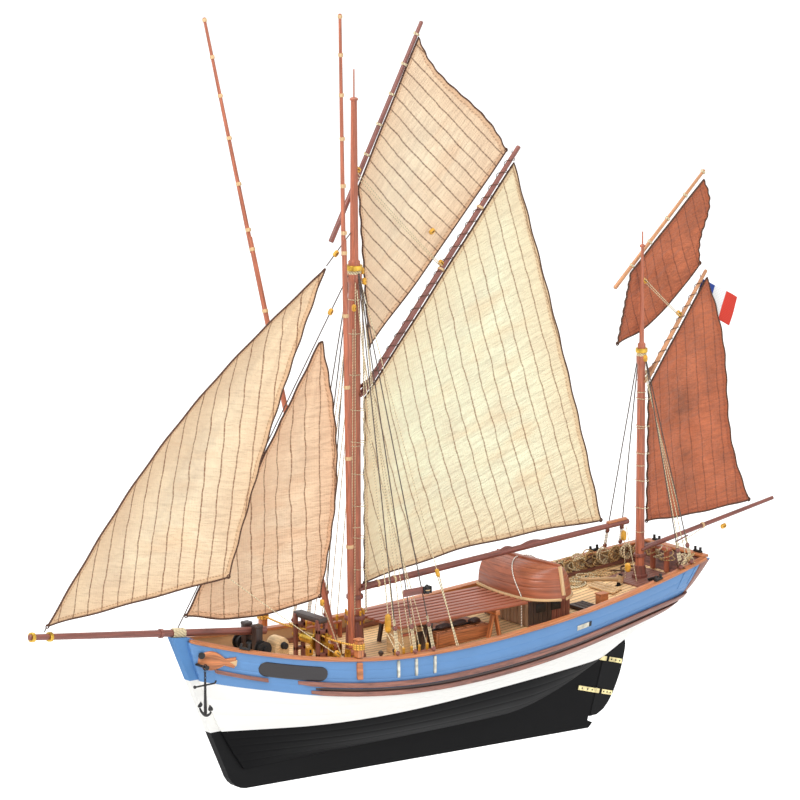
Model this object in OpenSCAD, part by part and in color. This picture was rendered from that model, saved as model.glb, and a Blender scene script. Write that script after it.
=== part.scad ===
// Display model of a gaff ketch fishing boat, planked on frames, with all sails set.
// Frame: +X runs aft, +Y to starboard, +Z up. The origin is the mouth of the fore keel socket,
// straight below the main mast. All sizes are in millimetres.

/* [Hull] */
// Half breadth amidships at the rail
half_beam = 50; // [46:1:54]
// Half breadth of the transom at the rail
transom_half = 28; // [25:1:31]
// Lowest height of the bulwark top above the keel socket
sheer_low = 72.2; // [71.4:0.2:73]
// Distance of that lowest point aft of the main mast
sheer_x = 28; // [24:1:32]
// Rise of the bulwark top from its lowest point to the stem
bow_lift = 19.5; // [18.7:0.2:20.3]
// Rise of the bulwark top from its lowest point to the transom
stern_lift = 17; // [16:0.5:18]
// Height of the bulwark above the deck
bulwark_h = 9; // [8:0.5:10]
// Height of the painted waterline
water_z = 38; // [36:1:40]
// Thickness of the planking
plank_t = 1.6; // [1.4:0.1:1.8]
// Thickness of the keel, stem and sternpost
keel_t = 5; // [4.6:0.2:5.4]
// Thickness of the deck
deck_t = 1.5; // [1.2:0.1:1.8]

/* [Masts and spars] */
// Radius of the main mast at the deck
main_r = 3.7; // [3.4:0.1:3.8]
// Height of the main hounds, where the shrouds meet the mast
main_hounds = 287; // [280:1:292]
// Height of the main truck
main_truck = 376; // [368:1:384]
// Distance from the main mast aft to the mizzen mast
mizzen_x = 208; // [206:1:210]
// Radius of the mizzen mast at the deck
mizzen_r = 2.7; // [2.5:0.1:2.8]
// Height of the mizzen hounds
mizzen_hounds = 214; // [210:1:218]
// Height of the mizzen truck
mizzen_truck = 270; // [266:1:274]
// Radius of the bowsprit
bowsprit_r = 2.2; // [2:0.1:2.3]
// Radius of the main boom
boom_r = 2; // [1.8:0.1:2.2]
// Length of each fishing pole from its pivot
pole_len = 358; // [345:1:360]
// Outward lean of the starboard fishing pole at rest
pole_lean = 17.6; // [14:0.2:20]

/* [Sails] */
// Thickness of the sail cloth
cloth_t = 0.7; // [0.6:0.1:0.9]
// Depth of the belly in the mainsail
belly = 6; // [4:0.5:8]
// Height of the soft ripples in the sails
ripple = 0.6; // [0:0.1:1]

/* [Rigging] */
// Diameter of the shrouds and stays
shroud_d = 0.7; // [0.6:0.1:0.9]
// Diameter of the sheets and halyards
line_d = 0.5; // [0.4:0.1:0.6]
// Diameter of the rope coiled on deck
coil_d = 1; // [0.8:0.1:1]
// Loops in the coil
coil_loops = 4; // [3:1:5]

/* [Rudder] */
// Rake of the sternpost and rudder axis from upright
rake = 16.5; // [16:0.5:17]
// Thickness of the rudder blade
blade_t = 3; // [2.6:0.2:3.2]
// Radius of the rudder stock
stock_r = 1.1; // [1:0.1:1.2]

/* [Keel sockets] */
// Radius of each socket
socket_r = 1.5; // [1.2:0.1:1.6]
// Depth of each socket
socket_depth = 9; // [8:0.5:10]
// Distance between the two sockets
socket_gap = 110; // [100:1:120]

/* [Hidden] */
$fn = 32;

// Ends of the bulwark top, of the bilge line and of the rabbet along the keel
bow_x = -117.5;
stern_x = 237;
entry_x = -104;
fore_x = -80;
counter_x = 213;
rabbet_z = 14;
counter_z = 64;
bilge_half = 54;
run_half = 40;
horn_half = 38;
// Stations where the rabbet starts to rise and where the run is finest
run_start = 0.6;
run_fine = 0.88;
edge = keel_t / 2 + plank_t;
keel_slope = -0.032;
ring_heights = [15, 34];
glue = 0.1;
trim_gap = 0.45;
rail_t = 1.6;
rail_w = 5;
blue_drop = 21;
wale_drop = 13.9;
wale_h = 3;
horn_rise = 2.2;
transom_top_z = sheer_low + stern_lift;
transom_run = (stern_x - counter_x) / (transom_top_z - counter_z);
transom_angle = atan2(transom_top_z - counter_z, stern_x - counter_x);
stem_head = 95.3;

// Mast steps, spars and the pole pivots
mizzen_step = 66.8;
keel_top = 20;
pole_x = -8;
pole_y = 7.5;
pole_pivot_h = 5;
pole_r = 2;
pole_tip_r = 1;
pole_lead = 1.18;
windlass_x = -71.4;
windlass_z = 82;
winch_x = -31;
winch_z = 79;
anchor_pin = [-113, -13, 79];
gaff_heel = [5.3, 0, 212];
gaff_peak = [116.6, 0, 338];
boom_heel = [4.2, 0, 102.6];
boom_end = [199, 0, 111.5];
yard_low = [-11.5, 6, 298];
yard_high = [52, 6, 413.7];
mizzen_gaff_heel = [mizzen_x + 4, 0, 192];
mizzen_gaff_peak = [256.5, 0, 251];
mizzen_boom_heel = [mizzen_x + 3, 0, 93.7];
mizzen_boom_end = [310.4, 0, 109];
mizzen_yard_low = [191.7, 5, 247.3];
mizzen_yard_high = [258.7, 5, 308.3];
bowsprit_tip = [-219.4, 0, 110.2];
bowsprit_heel = [-62, 0, 88.8];
shroud_xs = [-7, 4.6, 17];
mizzen_shroud_xs = [210, 220];
rack_x0 = 14;
rack_x1 = 106;
rack_top = 83;
slat_w = 3.4;
slat_t = 1.5;
slat_pitch = 5.2;
slats = 9;

wood = "#6e3d2c";
rail_wood = "#b5622f";
blue = "#5b8bd0";
cream = "#e6c79a";
brass = "#c9a24a";
iron = "#2c2a2a";
tan_cloth = "#8f4a34";
pale_cloth = "#e9d2a4";

function lerp(a, b, t) = a + (b - a) * t;
function unit(t) = min(1, max(0, t));
function ease(t) = (1 - cos(180 * unit(t))) / 2;

// Hull form: each station is a parabola from the rabbet, by a bilge control point, to the rail.
// u runs from the stem, 0, to the transom, 1, and s from the rabbet, 0, to the bulwark top, 1.
function rail_z(x) = sheer_low + (x < sheer_x
    ? bow_lift * pow((sheer_x - x) / (sheer_x - bow_x), 2.1)
    : stern_lift * pow((x - sheer_x) / (stern_x - sheer_x), 1.67));
function deck_z(x) = rail_z(x) - bulwark_h;
function rail_half(u) = u < 0.5
    ? edge + (half_beam - edge) * (1 - pow(1 - 2 * u, 3.1))
    : half_beam - (half_beam - transom_half) * pow(2 * u - 1, 2);
function rabbet_x(u) = lerp(fore_x, counter_x, u);
function rabbet_height(u) = rabbet_z
    + (counter_z - rabbet_z) * pow(max(0, u - run_start) / (1 - run_start), 1.7);
function aft_share(u) = unit((u - run_fine) / (1 - run_fine));
function bilge_y(u) = u < 0.5
    ? edge + (bilge_half - edge) * (1 - pow(1 - 2 * u, 2))
    : lerp(lerp(bilge_half, run_half, ease((u - 0.5) / (run_fine - 0.5))), horn_half, aft_share(u));
function bilge_z(u) = rabbet_height(u) + lerp(12, horn_rise, aft_share(u))
    + 20 * pow(max(0, 1 - u / 0.3), 2);
function station(u, inset) = [
    [rabbet_x(u), edge - inset, rabbet_height(u)],
    [lerp(entry_x, counter_x + horn_rise * transom_run, u), bilge_y(u) - inset, bilge_z(u) + 0.9 * inset],
    [lerp(bow_x, stern_x, u), rail_half(u) - inset, rail_z(lerp(bow_x, stern_x, u))]];
function hull_at(u, s, inset = 0) = let (c = station(u, inset))
    (1 - s) * (1 - s) * c[0] + 2 * s * (1 - s) * c[1] + s * s * c[2];
function s_at(u, z, inset = 0) = let (
    c = station(u, inset),
    a = c[0].z - 2 * c[1].z + c[2].z,
    b = 2 * (c[1].z - c[0].z),
    k = c[0].z - z)
    unit((-b + sqrt(max(0, b * b - 4 * a * k))) / (2 * a));
function hull_point(u, z, inset = 0) = hull_at(u, s_at(u, z, inset), inset);
// Station whose section passes the given x at the given height, by repeated correction
function u_at(x, z, u = 0.5, passes = 12) = passes == 0
    ? u
    : u_at(x, z, unit(u + (x - hull_point(u, z).x) / 350), passes - 1);
function rail_y(x) = rail_half((x - bow_x) / (stern_x - bow_x));
function blue_z(u) = rail_z(lerp(bow_x, stern_x, u)) - blue_drop - 2 * max(0, 1 - u / 0.1);
function top_z(u) = rail_z(lerp(bow_x, stern_x, u));
function low_white(u) = max(water_z, rabbet_height(u));
black_end = run_start + (1 - run_start)
    * pow((water_z - 1 - rabbet_z) / (counter_z - rabbet_z), 1 / 1.7);

// Rudder axis, raked aft, just behind the sternpost
function axis_x(z) = 169.8 + z * tan(rake);
function mast_radius(z) = lerp(main_r, main_r - 0.4, (z - keel_top) / (main_hounds - keel_top));
function mizzen_radius(z) = lerp(mizzen_r, mizzen_r - 0.4,
    (z - mizzen_step) / (mizzen_hounds - mizzen_step));

// Faces of a closed sheet between two grids of points, n rows by m columns of cells
function quad(a, b, c, d) = [[a, b, c], [a, c, d]];
function sheet_faces(n, m, flip) = let (
    w = m + 1,
    k = (n + 1) * w,
    f = concat(
        [for (i = [0:n - 1], j = [0:m - 1])
            each quad(i * w + j, i * w + j + 1, (i + 1) * w + j + 1, (i + 1) * w + j)],
        [for (i = [0:n - 1], j = [0:m - 1])
            each quad(k + i * w + j, k + (i + 1) * w + j, k + (i + 1) * w + j + 1, k + i * w + j + 1)],
        [for (i = [0:n - 1]) each quad(i * w, (i + 1) * w, k + (i + 1) * w, k + i * w)],
        [for (i = [0:n - 1])
            each quad(i * w + m, k + i * w + m, k + (i + 1) * w + m, (i + 1) * w + m)],
        [for (j = [0:m - 1]) each quad(j, k + j, k + j + 1, j + 1)],
        [for (j = [0:m - 1])
            each quad(n * w + j, n * w + j + 1, k + n * w + j + 1, k + n * w + j)]))
    flip ? [for (t = f) [t[2], t[1], t[0]]] : f;

module sheet(top, under, flip = false) {
    polyhedron(
        points = concat([for (row = top) each row], [for (row = under) each row]),
        faces = sheet_faces(len(top) - 1, len(top[0]) - 1, flip));
}

// A strip of the hull between two heights, from one inset to another; side is -1 for port
module hull_strip(side, u0, u1, n, m, low, high, outer, inner) {
    function grid(inset) = [for (i = [0:n]) let (u = lerp(u0, u1, pow(i / n, 1.2)))
        [for (j = [0:m]) let (p = hull_point(u, lerp(low(u), high(u), j / m), inset))
            [p.x, side * p.y, p.z]]];
    sheet(grid(outer), grid(inner), side > 0);
}

// Both sides of a rubbing piece of given height, centred a given drop below the rail
module hull_trim(x0, x1, n, drop, height, thick, veer = 0) {
    middle = function (u) top_z(u) - drop - veer * pow(max(0, u - 0.75) / 0.22, 2);
    low = function (u) middle(u) - height / 2;
    high = function (u) middle(u) + height / 2;
    z0 = rail_z(x0) - drop;
    z1 = rail_z(x1) - drop;
    for (side = [-1, 1])
        hull_strip(side, u_at(x0, z0), u_at(x1, z1), n, 1, low, high, -thick, -trim_gap);
}

module rod(p, q, r, r2) {
    v = q - p;
    translate(p) rotate([0, acos(v.z / norm(v)), atan2(v.y, v.x)])
        cylinder(h = norm(v), r1 = r, r2 = is_undef(r2) ? r : r2);
}

// A plate cut to a side profile, between two offsets from the centre plane
module profile(points, y0, y1) {
    rotate([90, 0, 0]) translate([0, 0, -y1]) linear_extrude(y1 - y0) polygon(points);
}

module block_on_deck(x0, x1, y0, y1, top) {
    profile([[x0, deck_z(x0) + glue], [x1, deck_z(x1) + glue], [x1, top], [x0, top]], y0, y1);
}

module ring(pos, inner, outer, h) {
    translate(pos) difference() {
        cylinder(h = h, r = outer);
        translate([0, 0, -1]) cylinder(h = h + 2, r = inner);
    }
}

module on_rudder_axis(height) {
    translate([axis_x(0), 0, 0]) rotate([0, rake, 0]) translate([0, 0, height]) children();
}

// Backbone: stem, keel, deadwood, sternpost and horn timber, cut from one board
module keel() color(iron) {
    forefoot = [for (t = [0:0.2:1]) lerp(lerp([-91, 14], [-87.5, 3.5], t), lerp([-87.5, 3.5], [-78, 2.5], t), t)];
    horn_under = [for (u = [0.895:0.035:0.98]) [rabbet_x(u), rabbet_height(u) - 1.5]];
    horn_top = [for (u = [0.97:-0.06:0.6]) [rabbet_x(u), rabbet_height(u) + 6]];
    stem_back = [for (s = [0.1:0.15:1]) let (p = hull_at(0, s)) [p.x + 6, p.z]];
    post = 2.3;
    outline = concat(
        [[-116, stem_head - 1.4], [-126.8, stem_head], [-101.4, 37]], forefoot,
        [[168, 168 * keel_slope], [171, -2.6], [axis_x(-0.8) - post, -0.8], [axis_x(39) - post, 39]],
        horn_under,
        [[counter_x - 1.9, counter_z - 1.5], [counter_x + 6 * transom_run - 0.4, counter_z + 6]],
        horn_top, [[90, keel_top], [-66, keel_top]], stem_back);
    difference() {
        profile(outline, -keel_t / 2, keel_t / 2);
        for (x = [0, socket_gap])
            translate([x, 0, x * keel_slope - 2]) cylinder(h = socket_depth + 2, r = socket_r);
        on_rudder_axis(30) cylinder(h = 40, r = stock_r + 0.4);
    }
}

module bulkheads() color(cream) {
    for (x = [-68, -40, 34, 70, 112, 146]) bulkhead(x);
}

module bulkhead(x) {
    half_t = 1.5;
    gap = plank_t + 1.5;
    steps = 8;
    low = max(keel_top, rabbet_height((x - fore_x) / (counter_x - fore_x)) + 6) + 1.4;
    high = deck_z(x) - deck_t - 0.6;
    rows = [for (i = [0:steps]) let (z = lerp(low, high, i / steps)) hull_point(u_at(x, z), z, gap)];
    function face(shift) = [for (p = rows) [for (side = [-1, 1]) [x + shift, side * p.y, p.z]]];
    sheet(face(-half_t), face(half_t));
}

module bottom_planking(side) color(iron)
    hull_strip(side, 0, black_end, 26, 4, function (u) rabbet_height(u), function (u) water_z, 0, plank_t);
module bottom_planking_port() bottom_planking(-1);
module bottom_planking_starboard() bottom_planking(1);

module side_planking(side) color("white")
    hull_strip(side, 0, 1, 28, 3, function (u) low_white(u), function (u) blue_z(u), 0, plank_t);
module side_planking_port() side_planking(-1);
module side_planking_starboard() side_planking(1);

module bulwark(side) color(blue)
    hull_strip(side, 0, 1, 28, 2, function (u) blue_z(u), function (u) top_z(u), 0, plank_t);
module bulwark_port() bulwark(-1);
module bulwark_starboard() bulwark(1);

module transom() color(wood) {
    thick = 2;
    half = [for (s = [0:0.1:1]) let (p = hull_at(1, s))
        [(p.z - counter_z) / sin(transom_angle), p.y]];
    mirrored = [for (i = [len(half) - 1:-1:0]) [half[i].x, -half[i].y]];
    translate([counter_x + 0.05, 0, counter_z]) rotate([0, -transom_angle, 0])
        translate([0, 0, -thick]) linear_extrude(thick) polygon(concat(half, mirrored));
}

module deck() color(cream) deck_shape();
module deck_shape() {
    n = 28;
    clear = 0.2;
    end = counter_x + (deck_z(227) - deck_t - counter_z) * transom_run - clear;
    xs = [for (i = [0:n]) lerp(-107.4, end, i / n)];
    function half(x) = let (z = deck_z(x) - deck_t) hull_point(u_at(x, z), z, plank_t).y - clear;
    function grid(drop) = [for (x = xs) [for (k = [-1, 0, 1]) [x, k * half(x), deck_z(x) - drop]]];
    difference() {
        sheet(grid(0), grid(deck_t));
        translate([0, 0, keel_top]) cylinder(h = 90, r = main_r + 0.2);
        translate([mizzen_x, 0, keel_top]) cylinder(h = 90, r = mizzen_r + 0.2);
        on_rudder_axis(60) cylinder(h = 40, r = stock_r + 0.6);
    }
}

module cap_rails() color(rail_wood) {
    for (side = [-1, 1]) cap_rail(side);
}

module cap_rail(side) {
    n = 30;
    function row(u, lift) = let (x = lerp(bow_x, stern_x, u), y = rail_half(u))
        [[x, side * max(keel_t / 2 + glue, y - rail_w + 1), rail_z(x) + lift],
         [x, side * (y + 1), rail_z(x) + lift]];
    us = [for (i = [0:n]) lerp(0.002, 0.988, pow(i / n, 1.2))];
    sheet([for (u = us) row(u, rail_t + glue)], [for (u = us) row(u, glue)], side < 0);
}

module taffrail() color(rail_wood) {
    half = transom_half - 2;
    translate([stern_x - 4, -half, transom_top_z + glue]) cube([5, 2 * half, rail_t]);
}

// Wales, the short bow wale and the upright strips below the rail posts
module rubbing_strakes() color(wood) {
    hull_trim(-64, 223, 26, wale_drop, wale_h, 1.8, 1.9);
    hull_trim(-56, 213, 26, wale_drop + 5.3, wale_h, 1.5, 1);
    hull_trim(-104, -79, 8, 14.6, 2.4, 1.5);
    hull_trim(-32.7, -29.2, 1, 5.5, 10.2, 1.2);
}

// Wooden pads that keep the anchor off the bow planking
module anchor_linings() color(rail_wood) anchor_linings_shape();
module anchor_linings_shape() {
    function share(u) = unit((u - 0.018) / 0.04);
    low = function (u) top_z(u) - lerp(13.5, 9.8, share(u));
    high = function (u) top_z(u) - lerp(3, 3.6, share(u));
    for (side = [-1, 1]) hull_strip(side, 0.018, 0.058, 6, 1, low, high, -1.8, -trim_gap);
}

module chainplates() color("silver") {
    for (x = shroud_xs) hull_trim(x - 0.9, x + 0.9, 1, 5.5, 10, 1.1);
    for (x = mizzen_shroud_xs) hull_trim(x - 0.7, x + 0.7, 1, 5.4, 9, 1.1);
}

module rail_posts() color(rail_wood) {
    x = -31;
    for (side = [-1, 1])
        translate([x - 2, side * (rail_y(x) - 1) - 2, rail_z(x - 3) + rail_t + 2 * glue])
            cube([4, 4, 11]);
}

// Mooring chocks on the rails and the pin that the anchor hangs from
module deck_irons() color(iron) {
    spots = [[203, 1], [190, -1], [-92, 1], [-92, -1]];
    for (s = spots) rail_chock(s[0], s[1]);
    for (y = [-18, 18]) chock([stern_x - 0.5, y, transom_top_z + rail_t + 0.2], 0, 90);
    eye = [coil_pos.x + coil_out + 1.5, coil_pos.y];
    translate([eye.x, eye.y, deck_z(eye.x + 2) + 0.2]) cylinder(h = 2.4, r = 0.8);
    root = hull_point(u_at(anchor_pin.x, anchor_pin.z), anchor_pin.z);
    rod([anchor_pin.x, -root.y - 0.5, anchor_pin.z], anchor_pin + [0, -1.6, 0], 0.7);
    rod(anchor_pin + [0, -2.2, 0], anchor_pin + [0, -1.6, 0], 1.3);
}

// A chock set along the rail, tilted and turned with it
module rail_chock(x, side) {
    turn = atan2(side * (rail_y(x + 3) - rail_y(x - 3)), 6);
    tilt = -atan((rail_z(x + 3) - rail_z(x - 3)) / 6 * cos(turn));
    chock([x, side * (rail_y(x) - 1), rail_z(x) + rail_t + 0.4], tilt, turn);
}

module chock(pos, tilt, turn) {
    translate(pos) rotate([0, tilt, turn]) {
        translate([-3, -1, 0]) cube([6, 2, 1]);
        for (x = [-2.2, 2.2]) translate([x, 0, 0.5]) cylinder(h = 2.5, r = 0.8);
    }
}

module bowsprit() color(wood)
    rod(bowsprit_heel, bowsprit_tip, bowsprit_r, bowsprit_r - 0.5);

// Two posts that hold the bowsprit heel and carry the windlass
module windlass_bitts() color(wood) {
    post_w = 4.6;
    inner = bowsprit_r + 0.3;
    difference() {
        for (side = [-1, 1])
            block_on_deck(windlass_x - post_w / 2, windlass_x + post_w / 2,
                side < 0 ? -inner - post_w : inner, side < 0 ? -inner : inner + post_w, 94.5);
        translate([windlass_x, -20, windlass_z]) rotate([-90, 0, 0]) cylinder(h = 40, r = 1.6);
    }
}

module windlass_barrel() color(iron) {
    shaft_r = 1.5;
    translate([windlass_x, 0, windlass_z]) rotate([90, 0, 0]) {
        cylinder(h = 27, r = shaft_r, center = true);
        cylinder(h = 4, r = 2.6, center = true);
        for (side = [-1, 1]) translate([0, 0, side * 10]) {
            cylinder(h = 4.6, r = 3, center = true);
            for (rim = [-2, 2]) translate([0, 0, rim]) cylinder(h = 0.8, r = 4.2, center = true);
        }
    }
}

module fore_scuttle() color(cream) {
    x0 = -58.5;
    x1 = -49;
    half = 4.6;
    profile([[x0, deck_z(x0) + glue], [x1, deck_z(x1) + glue], [x1, 82], [x0 + 3, 84.4], [x0, 80.5]], -half, half);
}

module winch_frame() color(iron) {
    cheek_t = 2.4;
    half = 10;
    difference() {
        union() {
            for (side = [-1, 1]) {
                y0 = side * half - cheek_t / 2;
                block_on_deck(winch_x - 3.5, winch_x + 3.5, y0, y0 + cheek_t, 93);
            }
            translate([winch_x - 3, -half - 2, 90]) cube([6, 2 * half + 4, 3]);
        }
        translate([winch_x, -30, winch_z]) rotate([-90, 0, 0]) cylinder(h = 60, r = 1.3);
    }
}

// Winch drum with its toothed wheel and the two crank handles
module winch_barrel() color(brass) {
    teeth = 20;
    wheel_r = 5;
    translate([winch_x, 0, winch_z]) rotate([90, 0, 0]) {
        cylinder(h = 30, r = 1.2, center = true);
        cylinder(h = 13, r = 3, center = true);
        translate([0, 0, 6.6]) {
            cylinder(h = 1.4, r = wheel_r);
            for (i = [0:teeth - 1]) rotate([0, 0, i * 360 / teeth])
                translate([wheel_r - 0.4, -0.4, 0]) cube([1.1, 0.8, 1.4]);
        }
        for (side = [-1, 1]) translate([0, 0, side * 14.4]) {
            translate([-0.7, -1.2, -0.6]) cube([1.4, 7.2, 1.2]);
            translate([0, 5, side > 0 ? 0 : -4]) cylinder(h = 4, r = 0.7);
        }
    }
}

module main_mast() color(wood) {
    translate([0, 0, keel_top]) cylinder(h = main_hounds - keel_top, r1 = main_r, r2 = main_r - 0.4);
    translate([0, 0, main_hounds]) cylinder(h = main_truck - main_hounds, r1 = 1.9, r2 = 1.1);
    translate([0, 0, main_truck]) cylinder(h = 1.6, r = 2);
    translate([0, 0, main_truck + 1.6]) cylinder(h = 16, r = 0.45);
}

// Deck collars, the belaying collar, hounds bands and the bowsprit's rings
module spar_bands() color(brass) {
    fit = 0.05;
    ring([0, 0, deck_z(0) + 0.3], mast_radius(deck_z(0)) + fit, 5.4, 2);
    ring([0, 0, 85.4], mast_radius(85) + fit, 5.8, 2.6);
    ring([0, 0, main_hounds - 5], mast_radius(main_hounds - 5) + fit, 4.6, 3);
    ring([0, 0, boom_heel.z - 5.5], mast_radius(97) + fit, 4.8, 2.4);
    ring([mizzen_x, 0, deck_z(mizzen_x) + 0.6], mizzen_radius(80) + fit, 4.6, 2);
    ring([mizzen_x, 0, mizzen_hounds - 5], mizzen_radius(mizzen_hounds - 5) + fit, 3.5, 2.6);
    ring([mizzen_x, 0, mizzen_boom_heel.z - 4.5], mizzen_radius(92) + fit, 3.7, 2);
    slope = (bowsprit_tip.z - bowsprit_heel.z) / (bowsprit_tip.x - bowsprit_heel.x);
    for (x = [-217.5, -206, -133]) translate([x, 0, bowsprit_heel.z + slope * (x - bowsprit_heel.x)])
        rotate([0, -90 - atan(slope), 0]) bowsprit_ring(x);
}

module bowsprit_ring(x) {
    share = (bowsprit_heel.x - x) / (bowsprit_heel.x - bowsprit_tip.x);
    r = bowsprit_r - 0.5 * share;
    ring([0, 0, -1.1], r + 0.05, r + 0.8, 2.2);
}

module main_boom() color(wood) rod(boom_heel, boom_end, boom_r, boom_r - 0.4);
module main_gaff() color(wood) rod(gaff_heel, gaff_peak, 1.8, 1.3);
module topsail_yard() color(wood) rod(yard_low, yard_high, 1.5, 1.1);

module mizzen_mast() color(wood) translate([mizzen_x, 0, 0]) {
    translate([0, 0, mizzen_step])
        cylinder(h = mizzen_hounds - mizzen_step, r1 = mizzen_r, r2 = mizzen_r - 0.4);
    translate([0, 0, mizzen_hounds]) cylinder(h = mizzen_truck - mizzen_hounds, r1 = 1.4, r2 = 0.8);
    translate([0, 0, mizzen_truck]) cylinder(h = 1.4, r = 1.6);
    translate([0, 0, mizzen_truck + 1.4]) cylinder(h = 8, r = 0.4);
}

module mizzen_boom() color(wood) rod(mizzen_boom_heel, mizzen_boom_end, 1.5, 1.1);
module mizzen_gaff() color(wood) rod(mizzen_gaff_heel, mizzen_gaff_peak, 1.4, 1);
module mizzen_yard() color(rail_wood) rod(mizzen_yard_low, mizzen_yard_high, 1.2, 0.9);

// Brackets on deck beside the mast, each with the pin that a fishing pole hinges on
module pole_shoes() color(brass) {
    cheek_t = 1;
    clear = 0.3;
    for (side = [-1, 1]) translate([pole_x, side * pole_y, deck_z(pole_x) + glue]) {
        translate([-4, -3, 0.2]) cube([8, 6, 0.8]);
        for (end = [-1, 1]) translate([end * (pole_r + clear + cheek_t / 2) - cheek_t / 2, -2, 0.2])
            cube([cheek_t, 4, pole_pivot_h + 1.8]);
        translate([-4, 0, pole_pivot_h]) rotate([0, 90, 0]) cylinder(h = 8, r = 0.8);
    }
}

// Fishing pole, leaning a little forward, on its cross pin
module pole(side, lean) color(wood)
    translate([pole_x, side * pole_y, deck_z(pole_x) + glue + pole_pivot_h]) rotate([-side * lean, 0, 0])
    difference() {
        union() {
            rotate([0, -pole_lead, 0]) cylinder(h = pole_len, r1 = pole_r, r2 = pole_tip_r, $fn = 12);
            translate([-pole_r, 0, 0]) rotate([0, 90, 0]) cylinder(h = 2 * pole_r, r = 2.2);
        }
        translate([-9, 0, 0]) rotate([0, 90, 0]) cylinder(h = 18, r = 0.87);
    }
module pole_port() pole(-1, 0);
module pole_starboard() pole(1, pole_lean);

// A sail between its four corners: tack, throat or foot of the yard, peak or head, and clew.
// The belly falls away to starboard and the loose foot, leech and luff are rounded.
module sail(tack, throat, peak, clew, depth, foot_round, leech_round, folds, luff_round = 0) {
    n = 14;
    function point(a, b) = lerp(lerp(tack, clew, a), lerp(throat, peak, a), b)
        + [leech_round * a * sin(180 * b),
           depth * sin(180 * pow(a, 0.75)) * (1 - b * b * b) * (0.6 + 0.4 * sin(180 * b))
           + ripple * sin(360 * (folds * a + 0.6 * b)) * sin(180 * a) * (1 - 0.7 * b),
           -foot_round * sin(180 * a) * (1 - b)]
        + luff_round * (1 - a) * sin(180 * b) * [-0.68, 0, 0.73];
    function grid(shift) = [for (i = [0:n]) [for (j = [0:n]) point(i / n, j / n) + [0, shift, 0]]];
    sheet(grid(-cloth_t / 2), grid(cloth_t / 2));
}
module jib() color(pale_cloth)
    sail([-207.4, 0, 114.3], [-22.5, 0, 283.5], [-20.3, 0, 285.2], [-90, -4, 124.2], 5, 1, -3, 2, 10);
module staysail() color(pale_cloth)
    sail([-115.8, 0, 105.5], [-24.4, 0, 244.4], [-22.4, 0, 245], [-24.5, 0, 102.2], 4, 6.5, 11, 2);
module mainsail() color(pale_cloth)
    sail([7, 0, 105], [7, 0, 209], [112.8, 0, 329], [178.5, 0, 115], belly, -3.5, 2, 3);
module topsail() color(pale_cloth)
    sail([12.6, 4, 242], [6.6, 4.4, 327], [49.2, 5.6, 405], [110.5, 4, 336], 3.5, 4, -3, 2);
module mizzen_sail() color(tan_cloth)
    sail([213, 0, 109.5], [213.6, 0, 188.4], [256.8, 0, 246.4], [291.5, 0, 110.6], 3.5, 2, -1, 2);
module mizzen_topsail() color(tan_cloth)
    sail([193, 3.6, 215.4], [203, 4, 255.2], [258.3, 4.4, 305.2], [254.6, 3.6, 254.6], 2.5, 4, 1, 2);

module flag() color("white") flag_shape();
module flag_shape() {
    n = 10;
    m = 4;
    hoist_top = [256, 3, 245.5];
    hoist_low = [249.8, 3, 229.5];
    fly = [28, 0, -14.5];
    wave = 1.2;
    function point(a, b) = lerp(hoist_low, hoist_top, b) + a * fly + [0, wave * sin(400 * a) * a, 0];
    function grid(shift) = [for (i = [0:n]) [for (j = [0:m]) point(i / n, j / m) + [0, shift, 0]]];
    sheet(grid(-cloth_t / 2), grid(cloth_t / 2));
}

// Shrouds run from the hounds to the rail above each chainplate
module shrouds(mast_x, hounds, reach, xs, inboard) {
    for (side = [-1, 1], x = xs)
        rod([mast_x + (x - mast_x) * 0.02, side * reach, hounds - 1],
            [x, side * (rail_y(x) - inboard), rail_z(x) + rail_t + 0.4], shroud_d / 2);
}
module main_shrouds() color(iron) shrouds(0, main_hounds - 5.4, main_r + 0.1, shroud_xs, 0.6);
module mizzen_shrouds() color(iron)
    shrouds(mizzen_x, mizzen_hounds - 5.4, mizzen_r + 0.1, mizzen_shroud_xs, 0.6);

module stays() color(iron) {
    r = shroud_d / 2;
    rod([-121.4, 0, 99.8], [-4.2, 0, main_hounds - 7.5], r);
    rod([-209.5, 0, 111.4], [-208.3, 0, 113.6], r);
    rod([-19.2, 0, 286.6], [-2.4, 0, 303], r);
}

// Main and mizzen sheets, jib and staysail sheets, and the halyards of both gaffs
module sheets() color(cream) {
    r = line_d / 2;
    for (y = [-1, 1]) rod([201.5, 5 * y, deck_z(202) + 0.6], [196.5, y, boom_end.z - boom_r - 0.3], r);
    rod([mizzen_x + 48, 0, 99], [stern_x - 1, 0, transom_top_z + 2.2], r);
    rod([-89.3, -5.2, 122.6], [-40, -36, rail_z(-40) + 2.4], r);
    rod([-24.5, -1, 100.9], [-21, -18, deck_z(-21) + 1], r);
    for (side = [-1, 1]) rod([61, side * 1.2, 277], [1, side * 2.2, 336], r);
    rod([6.4, 0, 216], [5.2, 0, main_hounds - 8], r);
    for (side = [-1, 1]) rod([236, side, 227], [mizzen_x + 0.5, side * 1.6, 252], r);
}

// Slatted rack amidships where the catch was hung to dry
module rack_slats() color(wood) {
    for (i = [0:slats - 1])
        translate([rack_x0, (i - (slats - 1) / 2) * slat_pitch - slat_w / 2, rack_top - slat_t])
            cube([rack_x1 - rack_x0, slat_w, slat_t]);
}

module rack_trestles() color(wood) {
    beam = 3;
    half = 23;
    under = rack_top - slat_t - 0.05;
    for (x = [34.5, 82.6]) {
        translate([x, -half, under - beam]) cube([beam, 2 * half, beam]);
        for (side = [-1, 1]) {
            y0 = side * 19 - 1.5;
            profile([[x - 1.5, deck_z(x - 1.5) + glue], [x + beam + 1.5, deck_z(x + beam + 1.5) + glue],
                [x + beam, under - beam], [x, under - beam]], y0, y0 + beam);
        }
    }
}

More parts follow.
